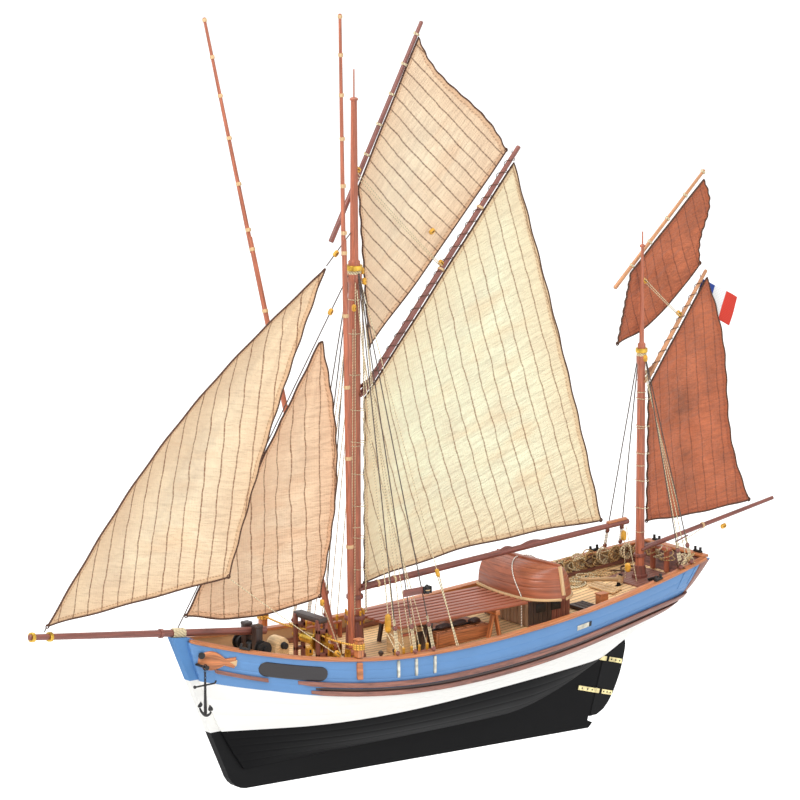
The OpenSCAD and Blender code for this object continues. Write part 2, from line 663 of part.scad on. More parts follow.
// Ship's boat, bottom up across the deck with its stem to port
module dinghy() color(rail_wood) dinghy_shape();
module dinghy_shape() {
    n = 16;
    m = 12;
    centre_x = 123.7;
    rim_z = rack_top + 0.4;
    stern_y = 27.5;
    stem_y = -32.5;
    stern_half = 13;
    beam_half = 17;
    shell = 1.2;
    widest = 0.45;
    function half(v) = v < widest ? lerp(stern_half, beam_half, sin(90 * v / widest))
        : max(1.4, beam_half * pow(max(0, 1 - pow((v - widest) / (1 - widest), 4)), 0.8));
    function height(v) = 17 + 1.5 * v * v;
    function soft(t) = sign(t) * pow(abs(t), 0.75);
    function point(v, t, inset) = let (b = max(0.5, half(v) - inset), h = height(v) - inset)
        [centre_x - b * soft(cos(t)),
         lerp(stern_y, stem_y, v) + (v > 0.99 ? inset : v < 0.01 ? -inset : 0) + 4 * v * soft(sin(t)),
         rim_z + h * soft(sin(t))];
    function grid(inset) = [for (i = [0:n]) [for (j = [0:m])
        point(i / n, lerp(0, 180, j / m), inset)]];
    sheet(grid(0), grid(shell), true);
}

module after_house() color(wood) {
    block_on_deck(109, 139, -20, 20, rack_top - 1.2);
    translate([108, -21, rack_top - 1.2]) cube([32, 42, 1.3]);
}

module hold_hatch() color(wood) {
    top = 72;
    difference() {
        block_on_deck(46, 85, -15, 15, top);
        translate([48, -13, top - 1.5]) cube([35, 26, 3]);
    }
    for (i = [0:4]) translate([48.3 + i * 7, -12.9, top - 1.4]) cube([6.6, 25.8, 1.8]);
}

// Companionway with its sliding roof and a dark door opening on the port side
module companion() color(cream) {
    difference() {
        union() {
            block_on_deck(21.5, 41, -13, -1, 76.6);
            translate([20.7, -13.8, 76.6]) cube([21.1, 13.6, 1.4]);
        }
        translate([33.5, -14, deck_z(41) + 1.5]) cube([6, 4, 10.6]);
    }
}

module rudder() color(iron) {
    difference() {
        profile([[axis_x(1), 1], [175, 1.2], [180, 3.6], [183.6, 7.2], [187, 12], [189.8, 17.5], [192.3, 23],
            [194.5, 30], [196, 36.5], [196.4, 40], [195.6, 43.5], [axis_x(38.5), 38.5]], -blade_t / 2, blade_t / 2);
        for (h = ring_heights) on_rudder_axis(h - 0.4) cylinder(h = 3.4, r = 3.6);
    }
    on_rudder_axis(0.9) cylinder(h = 83.5, r = stock_r);
}

// Brass straps across the rudder blade
module rudder_straps() color(brass) {
    strap_t = 0.5;
    for (h = ring_heights, side = [-1, 1]) on_rudder_axis(h)
        translate([4.2, side > 0 ? blade_t / 2 : -blade_t / 2 - strap_t, 0]) cube([h > 20 ? 10 : 8, strap_t, 2.6]);
}

// Brass gudgeons on the sternpost, each with the eye that the rudder stock turns in
module gudgeons() color(brass) {
    outer = keel_t / 2 + 0.6;
    for (h = ring_heights) let (arm = h > 20 ? 5.5 : 15) on_rudder_axis(h) linear_extrude(2.6) difference() {
        union() {
            circle(outer);
            translate([-arm, -outer]) square([arm, 2 * outer]);
        }
        circle(stock_r + 0.08);
        translate([-arm - 1, -keel_t / 2]) square([arm + 1 - 2.18, keel_t]);
    }
}

module tiller() color(wood) {
    head = 79.5;
    difference() {
        union() {
            on_rudder_axis(head) cylinder(h = 4, r = 2.3);
            rod([axis_x(78), 0, 78], [163, 0, 82.5], 1.4, 0.9);
        }
        on_rudder_axis(60) cylinder(h = 40, r = stock_r);
    }
}

// Stocked anchor hanging by its shackle from the pin, with a short length of chain above the shank
module anchor() color(iron) {
    eye = 1;
    translate(anchor_pin) {
        translate([0, 0.5, 0]) rotate([90, 0, 0]) difference() {
            cylinder(h = 1, r = eye + 0.9);
            translate([0, 0, -1]) cylinder(h = 3, r = eye);
        }
        translate([-0.5, -0.5, -8.6]) cube([1, 1, 7.1]);
        translate([0, 0, -27]) cylinder(h = 19, r = 0.9);
        translate([-7, 0, -10]) rotate([0, 90, 0]) cylinder(h = 14, r = 0.7);
        for (side = [-1, 1]) {
            profile([[-0.8, -27], [0.8, -27], [0.8, -25], [-0.8, -25]], side < 0 ? -5 : 0, side < 0 ? 0 : 5);
            translate([-1.3, side * 5 - 0.5, -26.6]) cube([2.6, 1, 5]);
        }
    }
}

// Boards inside the bulwarks with the pins that running lines are made fast to
module pin_rails() color(wood) {
    board_t = 1.2;
    for (side = [-1, 1]) {
        y = side * (rail_y(8) - 8.6);
        translate([-6, y - 1.5, rail_z(0) - 1]) cube([28, 3, board_t]);
        for (i = [0:4]) translate([-3 + i * 5.5, y, rail_z(0) - 4]) cylinder(h = 8, r = 0.55);
        for (x = [-6, 20]) translate([x, y - 1, deck_z(x + 2) + 0.2]) cube([2, 2, bulwark_h - 0.4]);
    }
}

module boom_crutch() color(wood) {
    x = 222;
    under = 93.8;
    for (side = [-1, 1])
        block_on_deck(x, x + 2.4, side * 6 - 1.2, side * 6 + 1.2, under - 2.5);
    translate([x - 0.4, -9, under - 2.5]) cube([3.2, 18, 2]);
}

// Rope laid down in a flat coil on the after deck, one unbroken tube from outside to inside
coil_pos = [176, 22];
coil_out = 9;
coil_pitch = coil_d + 0.55;
coil_steps = 24 * coil_loops;
function coil_path(i) = let (t = i / 24, r = coil_out - coil_pitch * t, a = 360 * t,
    x = coil_pos.x + r * cos(a))
    [x, coil_pos.y + r * sin(a), deck_z(x) + coil_d / 2 + 0.2];
coil_points = [for (i = [0:coil_steps]) coil_path(i)];
coil_gap = min([for (i = [0:coil_steps], j = [0:coil_steps]) if (j > i + 8)
    norm(coil_points[i] - coil_points[j])]) - coil_d;

module rope_coil() color(cream) {
    echo(coil_gap = coil_gap);
    sides = 6;
    rings = [for (i = [0:coil_steps]) let (p = coil_points[i], a = 360 * i / 24)
        for (k = [0:sides - 1]) let (c = coil_d / 2 * cos(60 * k))
            p + [c * cos(a), c * sin(a), coil_d / 2 * sin(60 * k)]];
    walls = [for (i = [0:coil_steps - 1], k = [0:sides - 1]) let (next = (k + 1) % sides)
        each quad(i * sides + k, i * sides + next, (i + 1) * sides + next, (i + 1) * sides + k)];
    first = [for (k = [1:sides - 2]) [0, k + 1, k]];
    last = [for (k = [1:sides - 2]) [coil_steps * sides, coil_steps * sides + k, coil_steps * sides + k + 1]];
    polyhedron(points = rings, faces = concat(walls, first, last));
}

keel();
bulkheads();
bottom_planking_port();
bottom_planking_starboard();
side_planking_port();
side_planking_starboard();
bulwark_port();
bulwark_starboard();
transom();
deck();
cap_rails();
taffrail();
rubbing_strakes();
anchor_linings();
chainplates();
rail_posts();
deck_irons();
bowsprit();
windlass_bitts();
windlass_barrel();
fore_scuttle();
winch_frame();
winch_barrel();
main_mast();
spar_bands();
main_boom();
main_gaff();
topsail_yard();
mizzen_mast();
mizzen_boom();
mizzen_gaff();
mizzen_yard();
pole_shoes();
pole_port();
pole_starboard();
jib();
staysail();
mainsail();
topsail();
mizzen_sail();
mizzen_topsail();
flag();
main_shrouds();
mizzen_shrouds();
stays();
sheets();
rack_slats();
rack_trestles();
dinghy();
after_house();
hold_hatch();
companion();
rudder();
rudder_straps();
gudgeons();
tiller();
anchor();
pin_rails();
boom_crutch();
rope_coil();
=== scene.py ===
"""Looks of a model sailing ship: painted skins, spars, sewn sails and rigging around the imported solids.

Lengths in the shape functions are millimetres, x aft, y to starboard and z up; meshes are stored in metres.
"""

import functools
import math

import bmesh
import bpy
import numpy as np
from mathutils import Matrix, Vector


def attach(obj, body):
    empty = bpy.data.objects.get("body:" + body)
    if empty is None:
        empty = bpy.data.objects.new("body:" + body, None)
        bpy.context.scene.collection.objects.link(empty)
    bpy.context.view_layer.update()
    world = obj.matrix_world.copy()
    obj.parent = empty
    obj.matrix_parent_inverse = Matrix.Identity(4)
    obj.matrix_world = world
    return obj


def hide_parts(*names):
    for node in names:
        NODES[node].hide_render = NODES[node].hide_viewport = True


bl_info = {
    "name": "Model sailing ship",
    "version": (1, 0, 0),
    "blender": (4, 5, 0),
    "location": "View3D > Sidebar > Ship",
    "description": "Builds the looks of a model gaff ketch around its packed solids",
    "category": "Object",
}

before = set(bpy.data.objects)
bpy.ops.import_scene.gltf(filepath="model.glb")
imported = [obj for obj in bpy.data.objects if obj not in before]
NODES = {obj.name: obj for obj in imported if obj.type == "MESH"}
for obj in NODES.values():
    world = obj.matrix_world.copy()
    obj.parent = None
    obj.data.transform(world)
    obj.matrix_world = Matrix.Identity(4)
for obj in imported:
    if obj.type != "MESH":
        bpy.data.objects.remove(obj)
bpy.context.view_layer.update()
MM = 0.001
SIDES = (-1, 1)
FINISH = {}


def colour(name, description, default):
    """A property that holds an sRGB hex value."""
    return bpy.props.StringProperty(name=name, description=description, default=default)


def length(name, description, default):
    """A property that holds a length in metres."""
    return bpy.props.FloatProperty(name=name, description=description, default=default, unit="LENGTH")


def angle(name, description, degrees):
    """A property that holds an angle."""
    return bpy.props.FloatProperty(name=name, description=description, default=math.radians(degrees),
                                   subtype="ANGLE")


class ShipColours(bpy.types.PropertyGroup):
    """Colours of the ship's finishes, as sRGB hex values."""

    bulwark: colour("Bulwarks", "Satin blue paint", "#6393C9")
    topside: colour("Topsides", "Satin white paint", "#FBFAF6")
    bottom: colour("Bottom", "Matte black paint", "#141415")
    rail: colour("Rails", "Varnished cherry", "#CF8150")
    wale: colour("Wales", "Stained beech", "#9A6556")
    spar: colour("Masts", "Stained walnut", "#BB6C4F")
    dark_spar: colour("Booms", "Dark stained walnut", "#8A5044")
    pale_spar: colour("Mizzen yard", "Oiled beech", "#C98E62")
    deck: colour("Deck", "Oiled lime wood", "#FFD199")
    foresail: colour("Headsails", "Undyed cotton", "#F8DEBC")
    mainsail: colour("Mainsail", "Bleached cotton", "#FFF2D0")
    staysail: colour("Staysail", "Wavy cotton", "#FBD8B6")
    topsail: colour("Topsail", "Tea-dyed cotton", "#FAE0C1")
    mizzen: colour("Mizzen sails", "Tanned cotton", "#C1704C")
    brass: colour("Brass", "Satin brass", "#D9B04C")


class ShipSizes(bpy.types.PropertyGroup):
    """Sizes of the ship's trim, and where the camera stands."""

    plank: length("Hull plank", "Width of one hull plank", 0.0052)
    seam: length("Sail seam", "Distance between two sewn seams", 0.0093)
    cloth: length("Sail cloth", "Thickness of the cloth", 0.00045)
    bolt_rope: length("Bolt rope", "Radius of the rope round each sail", 0.00055)
    shroud: length("Shroud", "Radius of the standing rigging", 0.00032)
    line: length("Line", "Radius of the running rigging", 0.00024)
    azimuth: angle("Camera azimuth", "Turn of the camera round the ship", -38.5)
    elevation: angle("Camera elevation", "Camera above the horizon", 12.3)


def linear(code):
    """Linear RGBA of an sRGB hex value."""
    c = np.array([int(code[i:i + 2], 16) for i in (1, 3, 5)]) / 255
    c = np.where(c <= 0.04045, c / 12.92, ((c + 0.055) / 1.055) ** 2.4)
    return (*c.tolist(), 1.0)


def shade(code, share):
    """The hex colour times share, which is one number or one for each channel; at most white."""
    parts = zip((1, 3, 5), np.broadcast_to(share, 3))
    return "#" + "".join(f"{min(255, int(int(code[i:i + 2], 16) * k)):02X}" for i, k in parts)


def add(tree, kind, *values, **words):
    """Adds a node. values fill its first inputs; a word with a capital names an input, any other a setting.
    A node given as a value is linked by its first live output."""
    node = tree.nodes.new("ShaderNode" + kind)
    for key, value in words.items():
        if key[0].islower():
            setattr(node, key, value)
    named = {socket.identifier.replace(" ", "_"): socket for socket in node.inputs}
    given = [(named[key], value) for key, value in words.items() if key[0].isupper()]
    for socket, value in [*zip(node.inputs, values), *given]:
        if isinstance(value, bpy.types.Node):
            value = next(out for out in value.outputs if out.enabled)
        if isinstance(value, bpy.types.NodeSocket):
            tree.links.new(value, socket)
        else:
            socket.default_value = value
    return node


def blank(name):
    """A new finish with an empty node tree; returns the function that adds nodes to it."""
    material = bpy.data.materials.new(name)
    material.use_nodes = True
    material.node_tree.nodes.clear()
    FINISH[name] = material
    return functools.partial(add, material.node_tree)


def surface(node, **sockets):
    """Ends a finish with one Principled surface."""
    node("OutputMaterial", node("BsdfPrincipled", **sockets))


def paint(name, code, roughness, wear=0.1, gloss=0.5):
    """Brushed enamel over planking: one colour that clouds a little, with fine brush marks along the hull."""
    node = blank(name)
    place = node("TexCoord").outputs["Object"]
    cloud = node("TexNoise", place, Scale=55.0, Detail=4.0)
    tone = node("MapRange", cloud, 0.35, 0.75, 0.0, wear * 2)
    mix = node("Mix", tone, A_Color=linear(code), B_Color=linear(shade(code, 0.8)), data_type="RGBA")
    # Brush marks: 0.7 mm across the hull and 25 mm along it
    turned = node("Mapping", place, Scale=(40.0, 1400.0, 1400.0))
    marks = node("TexNoise", turned, Scale=1.0, Detail=3.0)
    bump = node("Bump", Height=marks, Strength=0.25, Distance=0.00012)
    surface(node, Base_Color=mix, Normal=bump, Roughness=roughness, Specular_IOR_Level=gloss)


def keel_paint(name, colours):
    """The backbone's paint: bottom colour to 38 mm, topside colour above it, bulwark colour above 69.5 mm."""
    node = blank(name)
    place = node("TexCoord").outputs["Object"]
    height = node("SeparateXYZ", place).outputs["Z"]
    above = node("Math", height, 0.038, operation="GREATER_THAN")
    high = node("Math", height, 0.0695, operation="GREATER_THAN")
    lower = node("Mix", above, A_Color=linear(shade(colours.bottom, 1.3)), B_Color=linear(colours.topside),
                 data_type="RGBA")
    upper = node("Mix", high, A_Color=lower, B_Color=linear(colours.bulwark), data_type="RGBA")
    cloud = node("TexNoise", place, Scale=60.0, Detail=4.0)
    tone = node("MapRange", cloud, 0.0, 1.0, 0.88, 1.04)
    tinted = node("Mix", 1.0, A_Color=upper, B_Color=tone, data_type="RGBA", blend_type="MULTIPLY")
    bump = node("Bump", Height=cloud, Strength=0.2, Distance=0.0002)
    surface(node, Base_Color=tinted, Normal=bump, Roughness=0.6, Specular_IOR_Level=0.08)


def wood(name, code, scale=(1.2, 0.06, 1.0), source="UV", roughness=0.42, contrast=0.62):
    """Stained, varnished timber: grain 0.8 mm wide along the piece, darker pores and slow changes of tone.

    scale turns the coordinates into grain widths: per millimetre for UV, per metre for Object."""
    node = blank(name)
    turned = node("Mapping", node("TexCoord").outputs[source], Scale=scale)
    grain = node("TexNoise", turned, Scale=1.0, Detail=5.0, Roughness=0.65, Distortion=0.4)
    slow = node("TexNoise", turned, Scale=0.17, Detail=2.0)
    ramp = node("ValToRGB", grain)
    for element, position, share in zip(ramp.color_ramp.elements, (0.3, 0.68), (contrast, 1.12)):
        element.position = position
        element.color = linear(shade(code, share))
    tone = node("MapRange", slow, 0.3, 0.7, 0.82, 1.08)
    tinted = node("Mix", 1.0, A_Color=ramp, B_Color=tone, data_type="RGBA", blend_type="MULTIPLY")
    bump = node("Bump", Height=grain, Strength=0.3, Distance=0.00015)
    surface(node, Base_Color=tinted, Normal=bump, Roughness=roughness, Coat_Weight=0.12, Coat_Roughness=0.3)


def planked_deck(name, code):
    """Oiled deck planks 4 mm wide, laid fore and aft; dark caulking 0.56 mm wide and butts every 62 mm."""
    node = blank(name)
    place = node("TexCoord").outputs["Object"]
    axes = node("SeparateXYZ", place).outputs
    plank = node("Math", axes["Y"], 250.0, operation="MULTIPLY")
    number = node("Math", plank, operation="FLOOR")
    within = node("Math", plank, operation="FRACT")
    side = node("Math", within, 0.5, 0.43, operation="COMPARE")
    shift = node("Math", number, 0.37, operation="MULTIPLY")
    along = node("Math", axes["X"], 16.1, shift, operation="MULTIPLY_ADD")
    butt = node("Math", along, operation="FRACT")
    end = node("Math", butt, 0.004, operation="GREATER_THAN")
    clear = node("Math", side, end, operation="MULTIPLY")
    turned = node("Mapping", place, Scale=(60.0, 900.0, 900.0))
    grain = node("TexNoise", turned, Scale=1.0, Detail=4.0)
    each = node("TexWhiteNoise", W=number, noise_dimensions="1D")
    tone = node("Math", grain, each, operation="ADD")
    share = node("MapRange", tone, 0.2, 1.6)
    board = node("Mix", share, A_Color=linear(shade(code, 0.86)), B_Color=linear(shade(code, 1.04)),
                 data_type="RGBA")
    caulked = node("Mix", clear, A_Color=linear("#6B4B38"), B_Color=board, data_type="RGBA")
    bump = node("Bump", Height=clear, Strength=0.5, Distance=0.0002)
    surface(node, Base_Color=caulked, Normal=bump, Roughness=0.6)


def sail_cloth(name, code, seam_code, seam, seam_depth=1.0, wave=0.5, creases=9.0, stain_and_crease_shade=(1.05, 0.9)):
    """Sewn cotton: UV is in millimetres, u across the seams and v along them; the attribute hem is the
    distance to the sail's edge in millimetres. The threads, 0.3 mm apart on the real cloth, are drawn 1.5 mm
    apart so that they show. Seams are running stitches on a line that wanders a little."""
    node = blank(name)
    place = node("TexCoord").outputs["UV"]
    axes = node("SeparateXYZ", place).outputs
    hem = node("Attribute", attribute_name="hem").outputs["Fac"]
    wander = node("TexNoise", place, Scale=0.07, Detail=2.0)
    offset = node("Math", wander, 2 * wave / seam, -wave / seam, operation="MULTIPLY_ADD")
    panel = node("Math", axes["X"], 1 / seam, offset, operation="MULTIPLY_ADD")
    within = node("Math", panel, operation="FRACT")
    off = node("Math", within, 0.5, operation="SUBTRACT")
    away = node("Math", off, operation="ABSOLUTE")
    row = node("MapRange", away, 0.22 / seam, 0.52 / seam, 1.0, 0.0)
    step = node("Math", axes["Y"], 0.36, panel, operation="MULTIPLY_ADD")
    part = node("Math", step, operation="FRACT")
    stitch = node("MapRange", part, 0.74, 0.86, 1.0, 0.62)
    fade = node("TexNoise", place, Scale=0.12, Detail=1.0)
    dim = node("MapRange", fade, 0.3, 0.7, 0.75, 1.0)
    sewn = node("Math", row, stitch, operation="MULTIPLY")
    worn = node("Math", sewn, dim, operation="MULTIPLY")
    # Hem: a row of stitches 2.6 mm in from the edge
    edge = node("Math", hem, 2.6, operation="SUBTRACT")
    near = node("Math", edge, operation="ABSOLUTE")
    tack = node("MapRange", near, 0.25, 0.55, 0.45, 0.0)
    both = node("Math", axes["X"], axes["Y"], operation="ADD")
    beat = node("Math", both, 0.4, operation="MULTIPLY")
    beaten = node("Math", beat, operation="FRACT")
    dash = node("Math", beaten, 0.6, operation="LESS_THAN")
    hemmed = node("Math", tack, dash, operation="MULTIPLY")
    thread = node("Math", worn, hemmed, operation="MAXIMUM")
    amount = node("Math", thread, seam_depth, operation="MULTIPLY")
    # Cloth tone: slow stains and finer mottling; the wide range given to the tanned sails also paints the
    # light and shade of their wrinkles
    stain = node("TexNoise", place, Scale=0.045, Detail=5.0, Roughness=0.6)
    mottle = node("TexNoise", place, Scale=0.5, Detail=3.0)
    blend = node("Math", mottle, 0.35, stain, operation="MULTIPLY_ADD")
    tone = node("MapRange", blend, 0.45, 0.95)
    base = node("Mix", tone, A_Color=linear(shade(code, stain_and_crease_shade[0])), B_Color=linear(shade(code, stain_and_crease_shade[1])),
                data_type="RGBA")
    # Darker, redder streaks 50 mm long on the slant: a change of hue plus painted shade of the slanting soft
    # folds; the same tint within 35 mm of the edge and fully on the hem
    slant = node("Mapping", place, Rotation=(0, 0, 0.6), Scale=(0.02, 0.06, 1.0))
    streak = node("TexNoise", slant, Scale=1.0, Detail=3.0)
    blush_and_fold_shade = node("MapRange", streak, 0.48, 0.78, 0.0, 0.75)
    border = node("MapRange", hem, 0.0, 35.0, 0.55, 0.0)
    band = node("MapRange", hem, 2.4, 5.0, 0.95, 0.0)
    rim = node("Math", border, band, operation="MAXIMUM")
    tan = node("Math", blush_and_fold_shade, rim, operation="MAXIMUM")
    flushed = node("Mix", tan, A_Color=base, B_Color=linear(shade(code, (0.95, 0.87, 0.8))), data_type="RGBA")
    # The weave, and a darker doubled hem
    folded = node("MapRange", hem, 2.3, 3.0, 0.93, 1.0)
    weft, warp = (node("TexWave", place, Scale=0.21, Distortion=0.6, bands_direction=way).outputs["Fac"]
                  for way in "XY")
    weave = node("Math", weft, warp, operation="ADD")
    depth = node("MapRange", weave, 0.0, 2.0, 0.975, 1.02)
    dull = node("Math", folded, depth, operation="MULTIPLY")
    woven = node("Mix", 1.0, A_Color=flushed, B_Color=dull, data_type="RGBA", blend_type="MULTIPLY")
    stitched = node("Mix", amount, A_Color=woven, B_Color=linear(seam_code), data_type="RGBA")
    pucker = node("Math", row, -1.5, weave, operation="MULTIPLY_ADD")
    # Creases that lie across the seams, some 3 mm apart and 15 mm long
    pulled = node("Mapping", place, Scale=(0.065, 0.3, 1.0))
    crease = node("TexNoise", pulled, Scale=1.0, Detail=3.0)
    height = node("Math", crease, creases, pucker, operation="MULTIPLY_ADD")
    bump = node("Bump", Height=height, Strength=0.4, Distance=0.00025)
    surface(node, Base_Color=stitched, Normal=bump, Roughness=0.88, Sheen_Weight=0.12, Sheen_Roughness=0.6)


def flag_cloth(name):
    """Thin bunting in three upright bands of about a third each; u runs from the hoist, 0, to the fly, 1."""
    node = blank(name)
    place = node("TexCoord").outputs["UV"]
    ramp = node("ValToRGB", node("SeparateXYZ", place).outputs["X"])
    ramp.color_ramp.interpolation = "CONSTANT"
    ramp.color_ramp.elements.new(0.64)
    bands = zip(ramp.color_ramp.elements, (0, 0.36, 0.64), ("#2C4A9E", "#FBFBFA", "#E0402F"))
    for element, position, code in bands:
        element.position = position
        element.color = linear(code)
    # Threads 0.3 mm apart, drawn at 0.9 mm
    turned = node("Mapping", place, Scale=(36.0, 18.0, 1.0))
    weave = node("TexChecker", turned, Scale=1.0, Color1=(1, 1, 1, 1), Color2=(0.9, 0.9, 0.9, 1))
    woven = node("Mix", 1.0, A_Color=ramp, B_Color=weave, data_type="RGBA", blend_type="MULTIPLY")
    bump = node("Bump", Height=weave.outputs["Fac"], Strength=0.2, Distance=0.0001)
    surface(node, Base_Color=woven, Normal=bump, Roughness=0.8)


def laid_cord(name, code, lay=1.6):
    """Three-strand cotton cord: u is the share of a turn and v the length in millimetres, so that the strands
    run as slanting stripes, one every lay millimetres; the darker part of each stripe is painted shade where
    the strands dip into their grooves."""
    node = blank(name)
    axes = node("SeparateXYZ", node("TexCoord").outputs["UV"]).outputs
    slant = node("Math", axes["Y"], 1 / lay, axes["X"], operation="MULTIPLY_ADD")
    turn = node("Math", slant, 2 * math.pi, operation="MULTIPLY")
    strand = node("Math", turn, operation="SINE")
    # Painted shade: the cord is darker where the strands dip into the grooves between them
    tone = node("MapRange", strand, -1.0, 0.6)
    base = node("Mix", tone, A_Color=linear(shade(code, 0.74)), B_Color=linear(shade(code, 1.06)),
                data_type="RGBA")
    bump = node("Bump", Height=tone, Strength=0.6, Distance=0.0002)
    surface(node, Base_Color=base, Normal=bump, Roughness=0.8)


def metal(name, code, roughness, metallic=1.0):
    """Small cast or turned fittings: an even colour with darker tarnish in patches 3 mm across."""
    node = blank(name)
    patch = node("TexNoise", node("TexCoord").outputs["Object"], Scale=320.0, Detail=4.0)
    tone = node("MapRange", patch, 0.35, 0.75)
    base = node("Mix", tone, A_Color=linear(shade(code, 1.06)), B_Color=linear(shade(code, 0.72)),
                data_type="RGBA")
    rough = node("MapRange", tone, 0.0, 1.0, roughness * 0.8, roughness * 1.3)
    bump = node("Bump", Height=patch, Strength=0.15, Distance=0.0002)
    surface(node, Base_Color=base, Normal=bump, Roughness=rough, Metallic=metallic)


def make_finishes():
    """All finishes of the ship, kept by name."""
    c = bpy.context.scene.ship_colours
    seam = bpy.context.scene.ship_sizes.seam / MM
    paint("blue enamel", c.bulwark, 0.42, 0.08)
    paint("white enamel", c.topside, 0.4, 0.03)
    paint("black enamel", c.bottom, 0.6, 0.2, 0.06)
    # Rudder paint: the bottom black made 1.6 times lighter, painted light that offsets the shade the rudder
    # lies in
    paint("rudder enamel", shade(c.bottom, 1.6), 0.6, 0.2, 0.1)
    paint("plate enamel", "#2C282A", 0.38, 0.06)
    paint("cream enamel", "#CFAE88", 0.6, 0.15)
    keel_paint("backbone enamel", c)
    wood("varnished cherry", c.rail)
    wood("stained beech", c.wale)
    wood("stained walnut", c.spar, contrast=0.7)
    wood("dark walnut", c.dark_spar, contrast=0.7)
    wood("oiled beech", c.pale_spar, contrast=0.74)
    wood("oiled lime", "#E0BC8C", contrast=0.8, roughness=0.6)
    wood("bog oak", "#43322E", contrast=0.7)
    wood("boat cherry", "#A65C3D", contrast=0.8)
    wood("rack walnut", "#AD6145", contrast=0.7)
    wood("weathered beech", "#A98A70", contrast=0.8)
    wood("raw plywood", "#C9A377", (70.0, 900.0, 900.0), "Object", roughness=0.7)
    wood("transom walnut", "#8A574B", (900.0, 90.0, 900.0), "Object")
    planked_deck("oiled deck", c.deck)
    sail_cloth("undyed cotton", c.foresail, "#8A5C3C", seam, wave=1.4, creases=40.0)
    sail_cloth("wavy cotton", c.staysail, "#8A5C3C", seam, wave=1.9, creases=40.0)
    sail_cloth("bleached cotton", c.mainsail, "#8F6440", seam, 0.9, 1.3, 32.0, (1.05, 0.93))
    sail_cloth("tea-dyed cotton", c.topsail, "#6E4B34", seam * 0.8, 0.95, 0.9, 24.0)
    # Wide tone range on the tanned sails: stains plus painted light and shade of their wrinkles
    sail_cloth("tanned cotton", c.mizzen, "#5C2C1E", seam * 0.78, 0.6, 1.0, 110.0, (1.16, 0.72))
    flag_cloth("bunting")
    for name, code in (("tarred", "#5E5048"), ("brown", "#5A3B2A"), ("cream", "#E4D3AE"),
                       ("white", "#EFE7DA"), ("yellow", "#E5B04E"), ("tan", "#C7A574")):
        laid_cord(name + " cord", code)
    metal("satin brass", c.brass, 0.34)
    metal("pale brass", "#EBDCA4", 0.36, 0.8)
    metal("blackened iron", "#2E2C2C", 0.5, 0.4)
    metal("zinc strip", "#DAD6C6", 0.42, 0.55)
    metal("boxwood yellow", "#E9AE3C", 0.5, 0.0)


def vec(values):
    """A point, a row or a table as an array of floats."""
    return np.asarray(values, float)


def unit(v):
    """Vectors of length one."""
    return v / np.linalg.norm(v, axis=-1, keepdims=True)


def mixed(a, b, t):
    """Point or value at share t of the way from a to b."""
    return a + (b - a) * t


def spokes(axis, turn):
    """Unit vectors square to an axis, at the angles turn."""
    first = unit(np.cross(axis, np.eye(3)[np.argmin(np.abs(axis))]))
    return np.cos(turn)[..., None] * first + np.sin(turn)[..., None] * np.cross(axis, first)


def surface_part(points, uv=(0, 0), finish=0):
    """Quads between the neighbours of a grid of points, rows by columns; uv is given in millimetres."""
    rows, columns = points.shape[:2]
    k = np.arange(rows * columns).reshape(rows, columns)
    quads = np.stack([k[:-1, :-1], k[:-1, 1:], k[1:, 1:], k[1:, :-1]], -1).reshape(-1, 4)
    return points.reshape(-1, 3), quads, np.broadcast_to(uv, (rows, columns, 2)).reshape(-1, 2), finish


def rim(a, b):
    """Quads between two lines of points."""
    return surface_part(np.stack([a, b], 1))


def spread(*values):
    """Values broadcast to one shape and stacked as the last axis."""
    return np.stack(np.broadcast_arrays(*values), -1)


